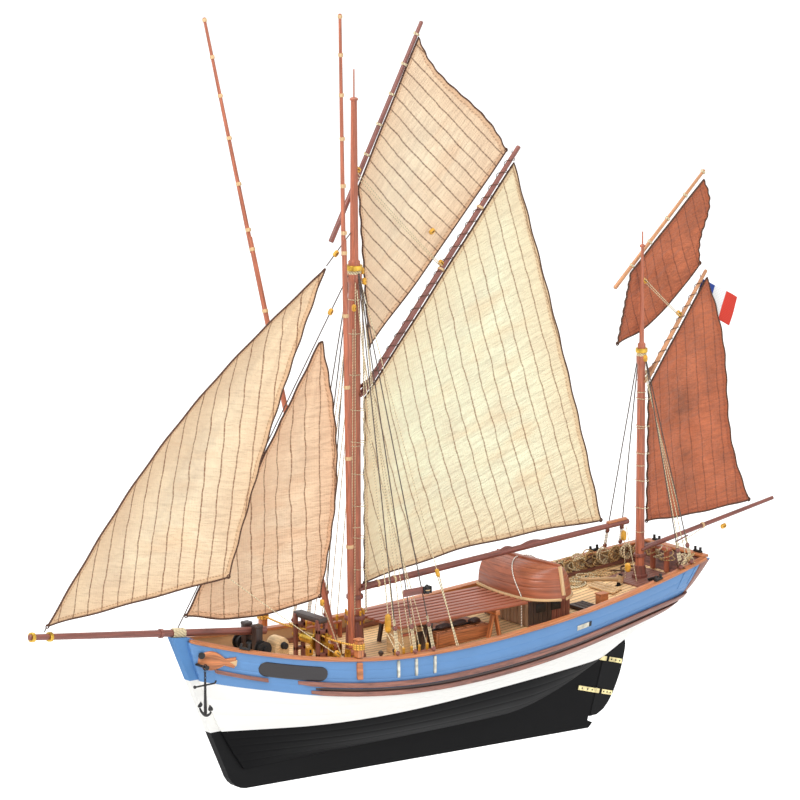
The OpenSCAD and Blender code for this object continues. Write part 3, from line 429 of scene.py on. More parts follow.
def sweep(path, wide, high=None, sides=12, corner=None, ref=None, chamfer=0.0, loop=False, turns=False,
          finish=0):
    """A section carried along a path and closed at both ends, or all round where the path is a loop.

    The section is an ellipse of half sizes wide and high, or where corner is given a box with corners rounded
    by that radius. wide lies along tangent x ref and high across it. chamfer draws the ends in by that
    length. With turns, u is the share of a turn and not a length."""
    path = vec(path)
    wide = np.broadcast_to(vec(wide), len(path)).copy()
    high = wide if high is None else np.broadcast_to(vec(high), len(path)).copy()
    tangent = unit(np.roll(path, -1, 0) - np.roll(path, 1, 0) if loop else np.gradient(path, axis=0))
    if ref is None:
        ref = np.eye(3)[np.argmin(np.abs(tangent).mean(0))]
    across = unit(np.cross(tangent, vec(ref)))
    up = np.cross(across, tangent)
    ends = np.arange(len(path))
    rows = np.append(ends, 0) if loop else np.concatenate([[0, 0], ends, [-1, -1]])
    path, wide, high, across, up = path[rows].copy(), wide[rows], high[rows], across[rows], up[rows]
    shrink, closed = np.zeros(len(rows)), np.ones(len(rows))
    if not loop:
        path[2] += tangent[0] * chamfer
        path[-3] -= tangent[-1] * chamfer
        shrink[[1, -2]] = chamfer
        closed[[0, -1]] = 0
    w = ((wide - shrink) * closed)[:, None]
    h = ((high - shrink) * closed)[:, None]
    if corner is None:
        turn = np.linspace(0, 2 * np.pi, sides + 1)
        a, b = w * np.cos(turn), h * np.sin(turn)
        around = turn / (2 * np.pi)
        girth = 1.0 if turns else 2 * np.pi * max(wide.max(), high.max())
    else:
        base = np.array([[1, 1], [-1, 1], [-1, -1], [1, -1]]).repeat(3, 0)
        bend = np.tile(np.array([[1, 0], [0.71, 0.71], [0, 1]]), (4, 1))
        bend[3:6] = bend[3:6][::-1]
        bend[9:12] = bend[9:12][::-1]
        base, bend = np.vstack([base, base[:1]]), np.vstack([bend, bend[:1]])
        c = np.minimum(corner, 0.9 * np.minimum(w, h))
        a = base[:, 0] * (w - c) + base[:, 0] * bend[:, 0] * c
        b = base[:, 1] * (h - c) + base[:, 1] * bend[:, 1] * c
        flat = np.hypot(np.diff(base[:, 0] * wide.max()), np.diff(base[:, 1] * high.max())) + corner
        around = np.append(0, np.cumsum(flat)) / flat.sum()
        girth = flat.sum()
    points = path[:, None] + a[..., None] * across[:, None] + b[..., None] * up[:, None]
    run = np.append(0, np.cumsum(np.linalg.norm(np.diff(path, axis=0), axis=1)))
    return surface_part(points, spread(around * girth, run[:, None]), finish)


def rope(path, radius, sides=6, **shape):
    """A cord along a path, its u a share of a turn for the lay of its strands."""
    return sweep(path, radius, sides=sides, turns=True, **shape)


def line(p, q, count=2):
    """Straight path of count points from p to q."""
    return np.linspace(p, q, count)


def sagged(p, q, drop, count=14):
    """Path from p to q that hangs by drop in the middle, as a parabola."""
    t = np.linspace(0, 1, count)[:, None]
    return mixed(vec(p), vec(q), t) - np.array([0, 0, 4 * drop]) * t * (1 - t)


def bar(p, q, wide, high, corner=0.25, ref=None, finish=0):
    """A straight timber of a rounded box section from p to q."""
    return sweep(line(p, q, 4), wide, high, corner=corner, ref=ref, chamfer=corner, finish=finish)


def box(low, high, corner=0.3, finish=0, along=0):
    """A timber with rounded edges that fills the box between two corners, grain along axis number along."""
    low, high = vec(low), vec(high)
    p, q, half = (low + high) / 2, (low + high) / 2, (high - low) / 2
    p[along], q[along] = low[along], high[along]
    wide, tall = np.delete(half, along)
    return bar(p, q, wide, tall, corner, np.eye(3)[2 if along < 2 else 1], finish)


def lathe(profile, base=(0, 0, 0), axis=(0, 0, 1), sides=24, finish=0):
    """A profile of (radius, height) pairs turned round an axis that starts at base."""
    profile, axis = vec(profile), unit(vec(axis))
    turn = np.linspace(0, 2 * np.pi, sides + 1)
    points = vec(base) + profile[:, 1, None, None] * axis + profile[:, 0, None, None] * spokes(axis, turn)
    run = np.append(0, np.cumsum(np.hypot(*np.diff(profile, axis=0).T)))
    return surface_part(points, spread(turn * profile[:, 0].max(), run[:, None]), finish)


def ring(centre, axis, radius, thick, sides=8, count=28, turns=False, finish=0):
    """A round bar of half thickness thick bent into a circle about an axis."""
    axis = unit(vec(axis))
    path = vec(centre) + radius * spokes(axis, np.arange(count) / count * 2 * np.pi)
    return sweep(path, thick, sides=sides, ref=axis, loop=True, turns=turns, finish=finish)


def helix(p, q, radius, thick, pitch, finish=0):
    """A cord wound round the straight line from p to q, one turn every pitch."""
    p, q = vec(p), vec(q)
    reach = np.linalg.norm(q - p)
    t = np.linspace(0, 1, int(reach / pitch * 14) + 2)[:, None]
    axis = (q - p) / reach
    first = unit(np.cross(axis, (0, 1, 0)))
    turn = t * reach / pitch * 2 * np.pi
    path = mixed(p, q, t) + radius * (np.cos(turn) * first + np.sin(turn) * np.cross(axis, first))
    return rope(path, thick, ref=axis + 0.01, finish=finish)


def pulley(centre, axis, long=4.2, wide=1.5, high=1.1, finish=0):
    """A block's shell: an oval section that swells and closes along the axis by the fourth-power rule."""
    t = np.linspace(-1, 1, 11)
    swell = np.maximum(0, 1 - t ** 4) ** 0.5
    path = vec(centre) + t[:, None] * long / 2 * unit(vec(axis))
    return sweep(path, wide * swell + 0.02, high * swell + 0.02, finish=finish)


def deadeye(centre, axis, r):
    """A turned disc with a rounded rim and a groove for its strop."""
    half = [(0.9 * r, 0), (r, 0.25), (0.94 * r, 0.5), (0.7 * r, 0.8), (0, 0.8)]
    return lathe([(radius, -height) for radius, height in half[:0:-1]] + half, centre, axis, 18)


def make(name, parts, finishes, body="ship", replaces=(), sharp=40.0):
    """One piece from its parts: welds them, turns the faces outwards and ties it to its body, if any."""
    parts = [parts] if isinstance(parts, tuple) else list(parts)
    start = np.cumsum([0] + [len(p[0]) for p in parts])
    points = np.concatenate([p[0] for p in parts]) * MM
    quads = np.concatenate([p[1] + k for p, k in zip(parts, start)])
    uv = np.concatenate([p[2] for p in parts])
    mesh = bpy.data.meshes.new(name)
    mesh.from_pydata(points, [], quads.tolist())
    corner = np.empty(len(mesh.loops), np.int32)
    mesh.loops.foreach_get("vertex_index", corner)
    mesh.uv_layers.new(name="UVMap").uv.foreach_set("vector", uv[corner].astype(np.float32).ravel())
    numbers = np.concatenate([np.full(len(p[1]), p[3], np.int32) for p in parts])
    mesh.polygons.foreach_set("material_index", numbers)
    work = bmesh.new()
    work.from_mesh(mesh)
    bmesh.ops.remove_doubles(work, verts=work.verts, dist=2e-6)
    bmesh.ops.recalc_face_normals(work, faces=work.faces)
    work.to_mesh(mesh)
    work.free()
    mesh.shade_smooth()
    mesh.set_sharp_from_angle(angle=math.radians(sharp))
    piece = bpy.data.objects.new(name, mesh)
    bpy.context.scene.collection.objects.link(piece)
    for finish in [finishes] if isinstance(finishes, str) else finishes:
        mesh.materials.append(FINISH[finish])
    if body:
        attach(piece, body)
    if replaces:
        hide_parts(*replaces)
    return piece


def dress(finish, *nodes):
    """Gives solids that stay in view their finish."""
    for node in nodes:
        data = NODES[node].data
        data.materials.clear()
        data.materials.append(FINISH[finish])


def thicken(cloth, thickness):
    """Gives a sheet its thickness, half to each side."""
    wall = cloth.modifiers.new("thickness", "SOLIDIFY")
    wall.thickness = thickness
    wall.offset = 0


# Hull form: the same curves as the solids. A station u, from stem 0 to transom 1, is a parabola from the
# rabbet by a bilge point to the rail.
HALF_BEAM = 50.0
TRANSOM_HALF = 28.0
BILGE_HALF = 54.0
EDGE = 4.1
BOW_X, STERN_X = -117.5, 237.0
SHEER_X = 28.0
BULWARK = 9
BLACK_END = 0.877
# Places of gear that several builders use
MIZZEN_X = 208
WINCH_X = -31
PIN_RAIL_IN = 8.6
PIN_X = [-3 + 5.5 * i for i in range(5)]
BOWSPRIT = (-62, 0, 88.8), (-219.4, 0, 110.2)


def rail_z(x):
    """Height of the bulwark top: lowest at SHEER_X, rising by a 2.1 power forward and a 1.67 power aft."""
    fore = np.maximum(0, SHEER_X - vec(x)) / (SHEER_X - BOW_X)
    aft = np.maximum(0, vec(x) - SHEER_X) / (STERN_X - SHEER_X)
    return 72.2 + 19.5 * fore ** 2.1 + 17 * aft ** 1.67


def deck_z(x):
    """Height of the deck, a bulwark below the rail."""
    return rail_z(x) - BULWARK


def rail_half(u):
    """Half breadth at the rail: a full bow by a 3.1 power and a quarter that draws in by a square."""
    u = vec(u)
    bow = EDGE + (HALF_BEAM - EDGE) * (1 - np.maximum(0, 1 - 2 * u) ** 3.1)
    return np.where(u < 0.5, bow, HALF_BEAM - (HALF_BEAM - TRANSOM_HALF) * (2 * u - 1) ** 2)


def rail_y(x):
    """Half breadth at the rail by length."""
    return rail_half((vec(x) - BOW_X) / (STERN_X - BOW_X))


def rabbet(u):
    """Height of the rabbet: level, then rising aft by a 1.7 power."""
    return 14 + 50 * (np.maximum(0, u - 0.6) / 0.4) ** 1.7


def hull_point(u, z, inset=0.0):
    """The point of station u at height z, moved in by inset: the parabola's share is solved from the height.
    The quarters lie up to 2.4 mm inside the solids, so that the corner of the stern is flatter."""
    u, z, inset = np.broadcast_arrays(*(vec(v) for v in (u, z, inset)))
    aft = np.clip((u - 0.88) / 0.12, 0, 1)
    easing = (1 - np.cos(np.pi * np.clip((u - 0.5) / 0.38, 0, 1))) / 2
    bilge = np.where(u < 0.5, EDGE + (BILGE_HALF - EDGE) * (1 - (1 - 2 * u) ** 2),
                     mixed(mixed(BILGE_HALF, 40, easing), 38, aft))
    bilge_z = rabbet(u) + mixed(12, 2.2, aft) + 20 * np.maximum(0, 1 - u / 0.3) ** 2
    x2 = mixed(BOW_X, STERN_X, u)
    c0 = np.stack([mixed(-80, 213, u), EDGE - inset, rabbet(u)], -1)
    c1 = np.stack([mixed(-104, 213 + 2.2 * 24 / 25.2, u), bilge - inset, bilge_z + 0.9 * inset], -1)
    c2 = np.stack([x2, rail_half(u) - inset, rail_z(x2)], -1)
    a = c0[..., 2] - 2 * c1[..., 2] + c2[..., 2]
    b = 2 * (c1[..., 2] - c0[..., 2])
    root = np.sqrt(np.maximum(0, b * b - 4 * a * (c0[..., 2] - z)))
    s = np.clip((-b + root) / (2 * a), 0, 1)[..., None]
    flatter = 2.4 * np.clip((u - 0.9) / 0.1, 0, 1) ** 2 * np.sin(np.pi * np.clip((z - 67) / 22, 0, 1))
    point = (1 - s) ** 2 * c0 + 2 * s * (1 - s) * c1 + s * s * c2
    return point - flatter[..., None] * np.array([0, 1, 0])


def station_at(x, z):
    """Station whose section passes x at height z, by repeated correction."""
    u = np.full(np.broadcast(x, z).shape, 0.5)
    for _ in range(14):
        u = np.clip(u + (x - hull_point(u, z)[..., 0]) / 350, 0, 1)
    return u


def rail_top(u):
    """Height of the bulwark top at a station."""
    return rail_z(mixed(BOW_X, STERN_X, u))


def blue_low(u):
    """Lower edge of the blue paint: 21 mm below the rail, dropping at the stem."""
    return rail_top(u) - 21 - 2 * np.maximum(0, 1 - u / 0.1)


def paint_low(u):
    """Upper edge of the black paint: 38 mm up, and up to 7.4 mm higher over the full part of the hull."""
    return 38 + 7.4 * np.sin(np.pi * np.clip((u - 0.14) / 0.8, 0, 1) ** 1.5)


def on_side(points, side):
    """Points of the starboard half carried to a side, -1 for port."""
    return points * np.array([1, side, 1])


def planked(side, u0, u1, low, high, plank):
    """A strip of planking with its inner face and rims. Shallow grooves part the planks: the outer face is
    cut 0.16 mm deep where the share across a plank is close to 0 or 1."""
    u = mixed(u0, u1, np.linspace(0, 1, 150) ** 1.2)[:, None]
    count = max(1, round(float(np.mean(high(u) - low(u))) / plank))
    across = np.array([0, 0.04, 0.1, 0.35, 0.65, 0.9, 0.96])
    share = np.append((np.arange(count)[:, None] + across).ravel() / count, 1)
    cut = np.append(np.tile([0.16, 0.1, 0, 0, 0, 0, 0.1], count), 0.16)
    cut[[0, -1]] = 0
    ninths = np.linspace(0, 1, 9)
    outer = on_side(hull_point(u, mixed(low(u), high(u), share), cut), side)
    inner = on_side(hull_point(u, mixed(low(u), high(u), ninths), 1.6), side)
    ends = np.interp(ninths, share, np.arange(len(share))).round().astype(int)
    return [surface_part(outer, outer[..., [2, 0]]), surface_part(inner, inner[..., [2, 0]], 1),
            rim(outer[:, 0], inner[:, 0]), rim(outer[:, -1], inner[:, -1]),
            rim(outer[0, ends], inner[0]), rim(outer[-1, ends], inner[-1])]


def strake(side, x0, x1, drop, height, thick, count=160, finish=0, veer=0.0):
    """A moulding on the planking: a rounded section of given height, its middle a drop below the rail; its
    ends fade into the planking over a fiftieth of its length. Aft of u = 0.75 it droops by veer, as a
    square."""
    u0, u1 = (station_at(np.array(x), rail_z(x) - drop) for x in (x0, x1))
    t = np.linspace(0, 1, count)
    u = mixed(u0, u1, t)[:, None]
    taper = np.clip(np.minimum(t, 1 - t) / 0.02, 0.25, 1)[:, None]
    turn = np.linspace(0, 2 * np.pi, 17)
    bulge, rise = (np.sign(wave) * np.abs(wave) ** 0.4 for wave in (np.cos(turn), np.sin(turn)))
    middle = rail_top(u) - drop - veer * (np.maximum(0, u - 0.75) / 0.22) ** 2
    z = middle + height / 2 * rise * (0.6 + 0.4 * taper)
    outset = 0.1 + (thick * taper - 0.1) * (0.5 + 0.5 * bulge)
    points = on_side(hull_point(u, z, -outset), side)
    first, last = (end.mean(1, keepdims=True).repeat(17, 1) for end in (points[:1], points[-1:]))
    points = np.concatenate([first, points, last])
    return surface_part(points, spread(turn * height / 4, points[:, :1, 0]), finish)


def dome(share, power):
    """Height of a board's rounded face: 1 over most of it and 0 at both edges."""
    return np.maximum(0, 1 - (2 * share - 1) ** power) ** 0.5


def pad(side, x0, x1, outline, thick, rows=28, columns=24, finish=0):
    """A plate bent to the planking. outline(t) gives its lower and upper height below the rail at share t of
    its length; its face is rounded by an eighth power across and a sixteenth along."""
    t = np.linspace(0, 1, columns)[:, None]
    x = mixed(x0, x1, t)
    share = np.linspace(0, 1, rows)
    z = rail_z(x) - mixed(*outline(t), share)
    u = station_at(x, z)
    swell = dome(share, 8) * dome(t, 16)
    uv = spread(share * 6, x)
    return [surface_part(on_side(hull_point(u, z, -0.15 - rise), side), uv, finish)
            for rise in (thick * swell, 0)]


# Tack, throat, peak and clew, then belly, rounding of foot and leech, folds, rounding of the luff, and the S
# of the leech
SAILS = {
    "jib": ((-207.4, 0, 114.3), (-22.5, 0, 283.5), (-20.3, 0, 285.2), (-90, -4, 124.2), 5, 1, -3, 2, 13.5, 0),
    "staysail": ((-115.8, 0, 105.5), (-24.4, 0, 244.4), (-22.4, 0, 245), (-24.5, 0, 102.2), 4, 6.5, 11, 2,
                 0, 0),
    "mainsail": ((7, 0, 105), (7, 0, 209), (112.8, 0, 329), (178.5, 0, 115), 6, -3.5, 2, 3, 0, 0),
    "topsail": ((13.5, 4, 237), (6.6, 4.4, 327), (49.2, 5.6, 405), (110.5, 4, 336), 3.5, 4, -1.2, 2, 0, 4),
    "mizzen_sail": ((213, 0, 109.5), (213.6, 0, 188.4), (256.8, 0, 246.4), (291.5, 0, 110.6), 3.5, 2, -1, 2,
                    0, -4),
    "mizzen_topsail": ((193, 3.6, 215.4), (203, 4, 255.2), (257.5, 4.4, 302.8), (254.6, 3.6, 254.6), 2.5, 8,
                       3, 2, 0, -3),
}


def sail_point(name, a, b):
    """The sail's surface: a from luff to leech, b from foot to head. A bilinear patch between the corners,
    plus rounded edges, a belly to starboard, soft folds and small creases."""
    tack, throat, peak, clew = vec(SAILS[name][:4])
    depth, foot, leech, folds, luff, bend = SAILS[name][4:]
    a, b = np.broadcast_arrays(a, b)
    flat = mixed(mixed(tack, clew, a[..., None]), mixed(throat, peak, a[..., None]), b[..., None])
    belly = depth * np.sin(np.pi * a ** 0.75) * (1 - b ** 3) * (0.6 + 0.4 * np.sin(np.pi * b))
    soft = 0.6 * np.sin(2 * np.pi * (folds * a + 0.6 * b)) * np.sin(np.pi * a) * (1 - 0.7 * b)
    inside = np.sin(np.pi * np.clip(a, 0, 1)) * np.sin(np.pi * np.clip(b, 0, 1))
    crease = (np.sin(2 * np.pi * (3.1 * a + 2.3 * b)) + np.sin(2 * np.pi * (1.7 * a - 4.1 * b) + 1)
              + 0.7 * np.sin(2 * np.pi * (6.3 * a + 1.1 * b) + 2))
    edge = 0.35 * np.sin(2 * np.pi * 9 * b + folds) * a ** 6 + 0.3 * np.sin(2 * np.pi * 8 * b) * (1 - a) ** 6
    bow = luff * (1 - a) * np.sin(np.pi * b)
    swing = leech * a * np.sin(np.pi * b) + bend * a * a * np.sin(2 * np.pi * b)
    return flat + np.stack([swing + edge - 0.68 * bow, belly + soft + 0.28 * crease * inside,
                            0.73 * bow - foot * np.sin(np.pi * a) * (1 - b)
                            + 0.3 * np.sin(18 * a) * (1 - b) ** 8], -1)


class ShipOperator:
    """What all builders of the ship share."""

    bl_options = {"REGISTER", "UNDO"}


class SHIP_OT_stage(ShipOperator, bpy.types.Operator):
    """Floor, soft light and the camera"""

    bl_idname = "ship.stage"
    bl_label = "Stage"

    def execute(self, context):
        context.scene.view_settings.view_transform = "Standard"
        e, a = context.scene.ship_sizes.elevation, context.scene.ship_sizes.azimuth
        back = np.array([math.sin(a) * math.cos(e), -math.cos(a) * math.cos(e), math.sin(e)])
        right = np.array([math.cos(a), math.sin(a), 0])
        up = np.cross(back, right)
        target, distance, floor_z = np.array([0.032, 0, 0.205]), 3.315, -120.0

        def stand(name, data, offset, turn):
            """A camera or lamp that stands off the middle of the ship."""
            item = bpy.data.objects.new(name, data)
            item.location = target + offset
            item.rotation_mode = "QUATERNION"
            item.rotation_quaternion = turn
            context.scene.collection.objects.link(item)
            return item

        data = bpy.data.cameras.new("camera")
        data.lens = 270
        data.sensor_width = 36
        data.clip_end = 60
        turn = Matrix(np.stack([right, up, back], 1).tolist()).to_quaternion()
        context.scene.camera = stand("camera", data, distance * back, turn)
        # Key from the upper left of the camera, a weaker fill from its right, and a broad top light
        for name, offset, power, size in (
                ("key", back * 1.3 - right * 0.9 + up * 1.2, 30.0, 1.1),
                ("fill", back * 1.5 + right * 1.3 + up * 0.2, 9.0, 1.4),
                ("top", up * 2.0 - back * 0.4, 15.0, 1.6)):
            lamp = bpy.data.lights.new(name, "AREA")
            lamp.energy = power
            lamp.size = size
            stand(name, lamp, offset, Vector((-offset).tolist()).to_track_quat("-Z", "Y"))
        world = bpy.data.worlds.new("studio")
        context.scene.world = world
        world.use_nodes = True
        world.node_tree.nodes.clear()
        node = functools.partial(add, world.node_tree)
        ray = node("LightPath").outputs
        seen = node("Math", ray["Is Camera Ray"], ray["Is Glossy Ray"], operation="MAXIMUM")
        clear = node("Math", seen, ray["Is Transmission Ray"], operation="MAXIMUM")
        level = node("MapRange", clear, 0.0, 1.0, 0.72, 1.0)
        node("OutputWorld", node("Background", Color=(1, 1, 1, 1), Strength=level))
        # Pale floor: a disc of rings that the rig stands over, white to the camera and pale to other light
        node = blank("studio floor")
        ray = node("LightPath").outputs
        seen = node("Math", ray["Is Camera Ray"], ray["Is Glossy Ray"], operation="MAXIMUM")
        glow = node("Math", seen, 0.62, operation="MULTIPLY")
        surface(node, Base_Color=linear("#D8D8D8"), Roughness=0.9, Emission_Color=(1, 1, 1, 1),
                Emission_Strength=glow)
        radius = np.array([0, 0.5, 1, 2, 4, 8, 14])[:, None] * 1000
        turns = np.linspace(0, 2 * np.pi, 65)
        disc = spread(radius * np.cos(turns), radius * np.sin(turns), floor_z)
        make("floor", surface_part(disc, disc[..., :2]), "studio floor", body=None)
        return {"FINISHED"}


class SHIP_OT_coil(ShipOperator, bpy.types.Operator):
    """Rope laid down in a flat coil on the after deck"""

    bl_idname = "ship.coil"
    bl_label = "Rope coil"

    def execute(self, context):
        # From its ring bolt the rope runs into an even spiral of four loops, radius 9 mm less 1.55 mm a turn
        t = np.linspace(0, 4, 121)
        r = 9 - 1.55 * t
        x = 176 + r * np.cos(2 * np.pi * t)
        path = np.stack([x, 22 + r * np.sin(2 * np.pi * t), deck_z(x) + 0.7], -1)
        piece = make("rope_coil_laid", rope(path, 0.5, 10, ref=(0, 0, 1)), "cream cord",
                     replaces=["rope_coil"])
        return {"FINISHED"}


class SHIP_OT_hull(ShipOperator, bpy.types.Operator):
    """Planked and painted hull, deck, transom and backbone"""

    bl_idname = "ship.hull"
    bl_label = "Hull"

    def execute(self, context):
        plank = context.scene.ship_sizes.plank / MM
        for word, side in zip(("port", "starboard"), SIDES):
            bottom = planked(side, 0, BLACK_END, rabbet, lambda u: np.maximum(paint_low(u), rabbet(u) + 0.05),
                             plank)
            make(f"bottom_{word}", bottom, ["black enamel", "raw plywood"],
                 replaces=[f"bottom_planking_{word}"])
            topside = planked(side, 0, 1, lambda u: np.maximum(paint_low(u), rabbet(u)), blue_low, plank)
            make(f"topside_{word}", topside, ["white enamel", "raw plywood"],
                 replaces=[f"side_planking_{word}"])
            make(f"bulwark_{word}_planks", planked(side, 0, 1, blue_low, rail_top, plank),
                 ["blue enamel", "cream enamel"], replaces=[f"bulwark_{word}"])
        dress("backbone enamel", "keel")
        dress("raw plywood", "bulkheads")
        dress("oiled deck", "deck")
        # Transom: a board 2 mm thick between the ends of the planking
        edge = hull_point(1.0, np.linspace(64.3, 89, 26)[:, None], 0.05)
        face = edge * np.stack([np.ones(25), np.linspace(-1, 1, 25), np.ones(25)], -1)
        inner, uv = face - [2.0, 0, 0], face[..., [2, 1]]
        board = [surface_part(face, uv), surface_part(inner, uv)]
        board += [rim(face[cut], inner[cut]) for cut in (np.s_[0], np.s_[-1], np.s_[:, 0], np.s_[:, -1])]
        make("transom_board", board, "transom walnut", replaces=["transom"])
        return {"FINISHED"}


def fish(s):
    """Outline of the anchor lining: a rounded body that narrows to a spread tail."""
    body = 5.7 * np.abs(np.sin(np.pi * (0.1 + 0.9 * s / 0.74))) ** 0.7
    half = np.where(s < 0.68, body, 2 + 4.4 * (s - 0.68))
    return 8.6 - 2.2 * s + half, 8.6 - 2.2 * s - half


def fork(s):
    """Outline of the pale notch in its tail."""
    return 6.5 + 2.2 * s, 6.5 - 2.2 * s


def stadium(s):
    """Outline of a plate with half-round ends."""
    half = 4.3 * np.sqrt(np.maximum(0, 1 - np.maximum(0, np.abs(2 * s - 1) - 0.76) ** 2 / 0.24 ** 2))
    return 7.6 + half, 7.6 - half


def port(s):
    """Outline of a narrow port with square ends."""
    return 8.2 + 0 * s, 5.3 + 0 * s


class SHIP_OT_trim(ShipOperator, bpy.types.Operator):
    """Cap rails, wales, linings, bow plates, chainplates and posts"""

    bl_idname = "ship.trim"
    bl_label = "Hull trim"

    def execute(self, context):
        rails, wales, linings, plates, ports, strips = [], [], [], [], [], []
        t = np.linspace(0.002, 0.988, 220)
        x = mixed(BOW_X, STERN_X, t)
        inner, outer = np.maximum(2.6, rail_half(t) - 4), rail_half(t) + 1
        for side in SIDES:
            path = np.stack([x, side * (inner + outer) / 2, rail_z(x) + 0.9], -1)
            rails.append(sweep(path, (outer - inner) / 2, 0.8, corner=0.45, ref=(0, 0, 1), chamfer=0.3))
            # Upper, lower and bow wale, a dark strip between the first two that paints the shade between
            # them, and the upright strip
            wales += [strake(side, -64, 223, 13.9, 3, 1.8, veer=3.2),
                      strake(side, -56, 217, 19.2, 3, 1.5, veer=2.6),
                      strake(side, -104, -79, 14.6, 2.4, 1.5),
                      # Dark strip just above the lower wale: painted shade between the two wales
                      strake(side, -54, 211, 16.9, 1.8, 0.5, finish=2, veer=2.8),
                      strake(side, -32.7, -29.2, 5.5, 10.2, 1.2, 12, 1)]
            linings += pad(side, -112.4, -96, fish, 1.4)
            linings += pad(side, -99.4, -95.8, fork, 1.5, rows=12, finish=1)
            plates += pad(side, -85, -49, stadium, 0.7, columns=60)
            # Corner board of the stern, and the waterway inside the bulwark
            share = np.linspace(0, 1, 9)
            z = np.linspace(66, 88.6, 24)[:, None]
            for depth in (-0.1 - 0.25 * dome(share, 8), -0.05):
                board = on_side(hull_point(mixed(0.974, 1, share), z, depth), side)
                wales.append(surface_part(board, spread(share * 8, z)))
            along = np.linspace(-104, 229, 90)
            low = deck_z(along) + 1.4
            waterway = on_side(hull_point(station_at(along, low), low, 2.4), side)
            wales.append(sweep(waterway, 0.7, 1.3, corner=0.3, ref=(0, 0, 1), chamfer=0.2))
            # A port with a dark end, and the eye of the lining
            ports += pad(side, 121.6, 131, port, 0.35, rows=12)
            ports += pad(side, 131, 133, port, 0.3, rows=12, columns=8, finish=1)
            eye = on_side(hull_point(station_at(np.array(-112.0), 84.5), 84.5, -1.7), side)
            ports.append(lathe([(0, 0), (1.5, 0), (1.9, 0.3), (1.9, 0.7), (1.4, 0.9), (0, 0.6)], eye,
                               (-0.5, side, 0), 18, 1))
            # Chainplates, pale at the main shrouds and blue at the mizzen's, and the post beside the winch
            for at in (-7, 4.6, 17):
                strips.append(strake(side, at - 0.9, at + 0.9, 5.5, 10, 0.9, 10))
            for at in (210, 220):
                strips.append(strake(side, at - 0.9, at + 0.9, 5.4, 9, 0.3, 10, 2))
            root = np.array([WINCH_X, side * (rail_y(WINCH_X) - 1), rail_z(-34) + 1.8])
            top = root + [0, 0, 9.6]
            strips.append(bar(root, top, 2, 2, 0.5, finish=1))
            strips.append(sweep(line(top, root + [0, 0, 11], 5), [1.5, 2.3, 2.4, 2.2, 1.2], corner=0.5,
                                chamfer=0.1, finish=1))
        rails.append(box((233, -26, 89.3), (238, 26, 90.9), 0.45, along=1))
        make("cap_rail_timbers", rails, "varnished cherry",
             replaces=["cap_rails", "taffrail"])
        make("wale_timbers", wales, ["stained beech", "varnished cherry", "bog oak"],
             replaces=["rubbing_strakes"])
        make("lining_boards", linings, ["varnished cherry", "oiled lime"],
             replaces=["anchor_linings"])
        make("bow_plates", plates, "plate enamel")
        make("hull_ports", ports, ["zinc strip", "blackened iron"])
        make("chainplate_strips", strips, ["zinc strip", "varnished cherry", "blue enamel"],
             replaces=["chainplates", "rail_posts"])
        dress("blackened iron", "deck_irons")
        return {"FINISHED"}


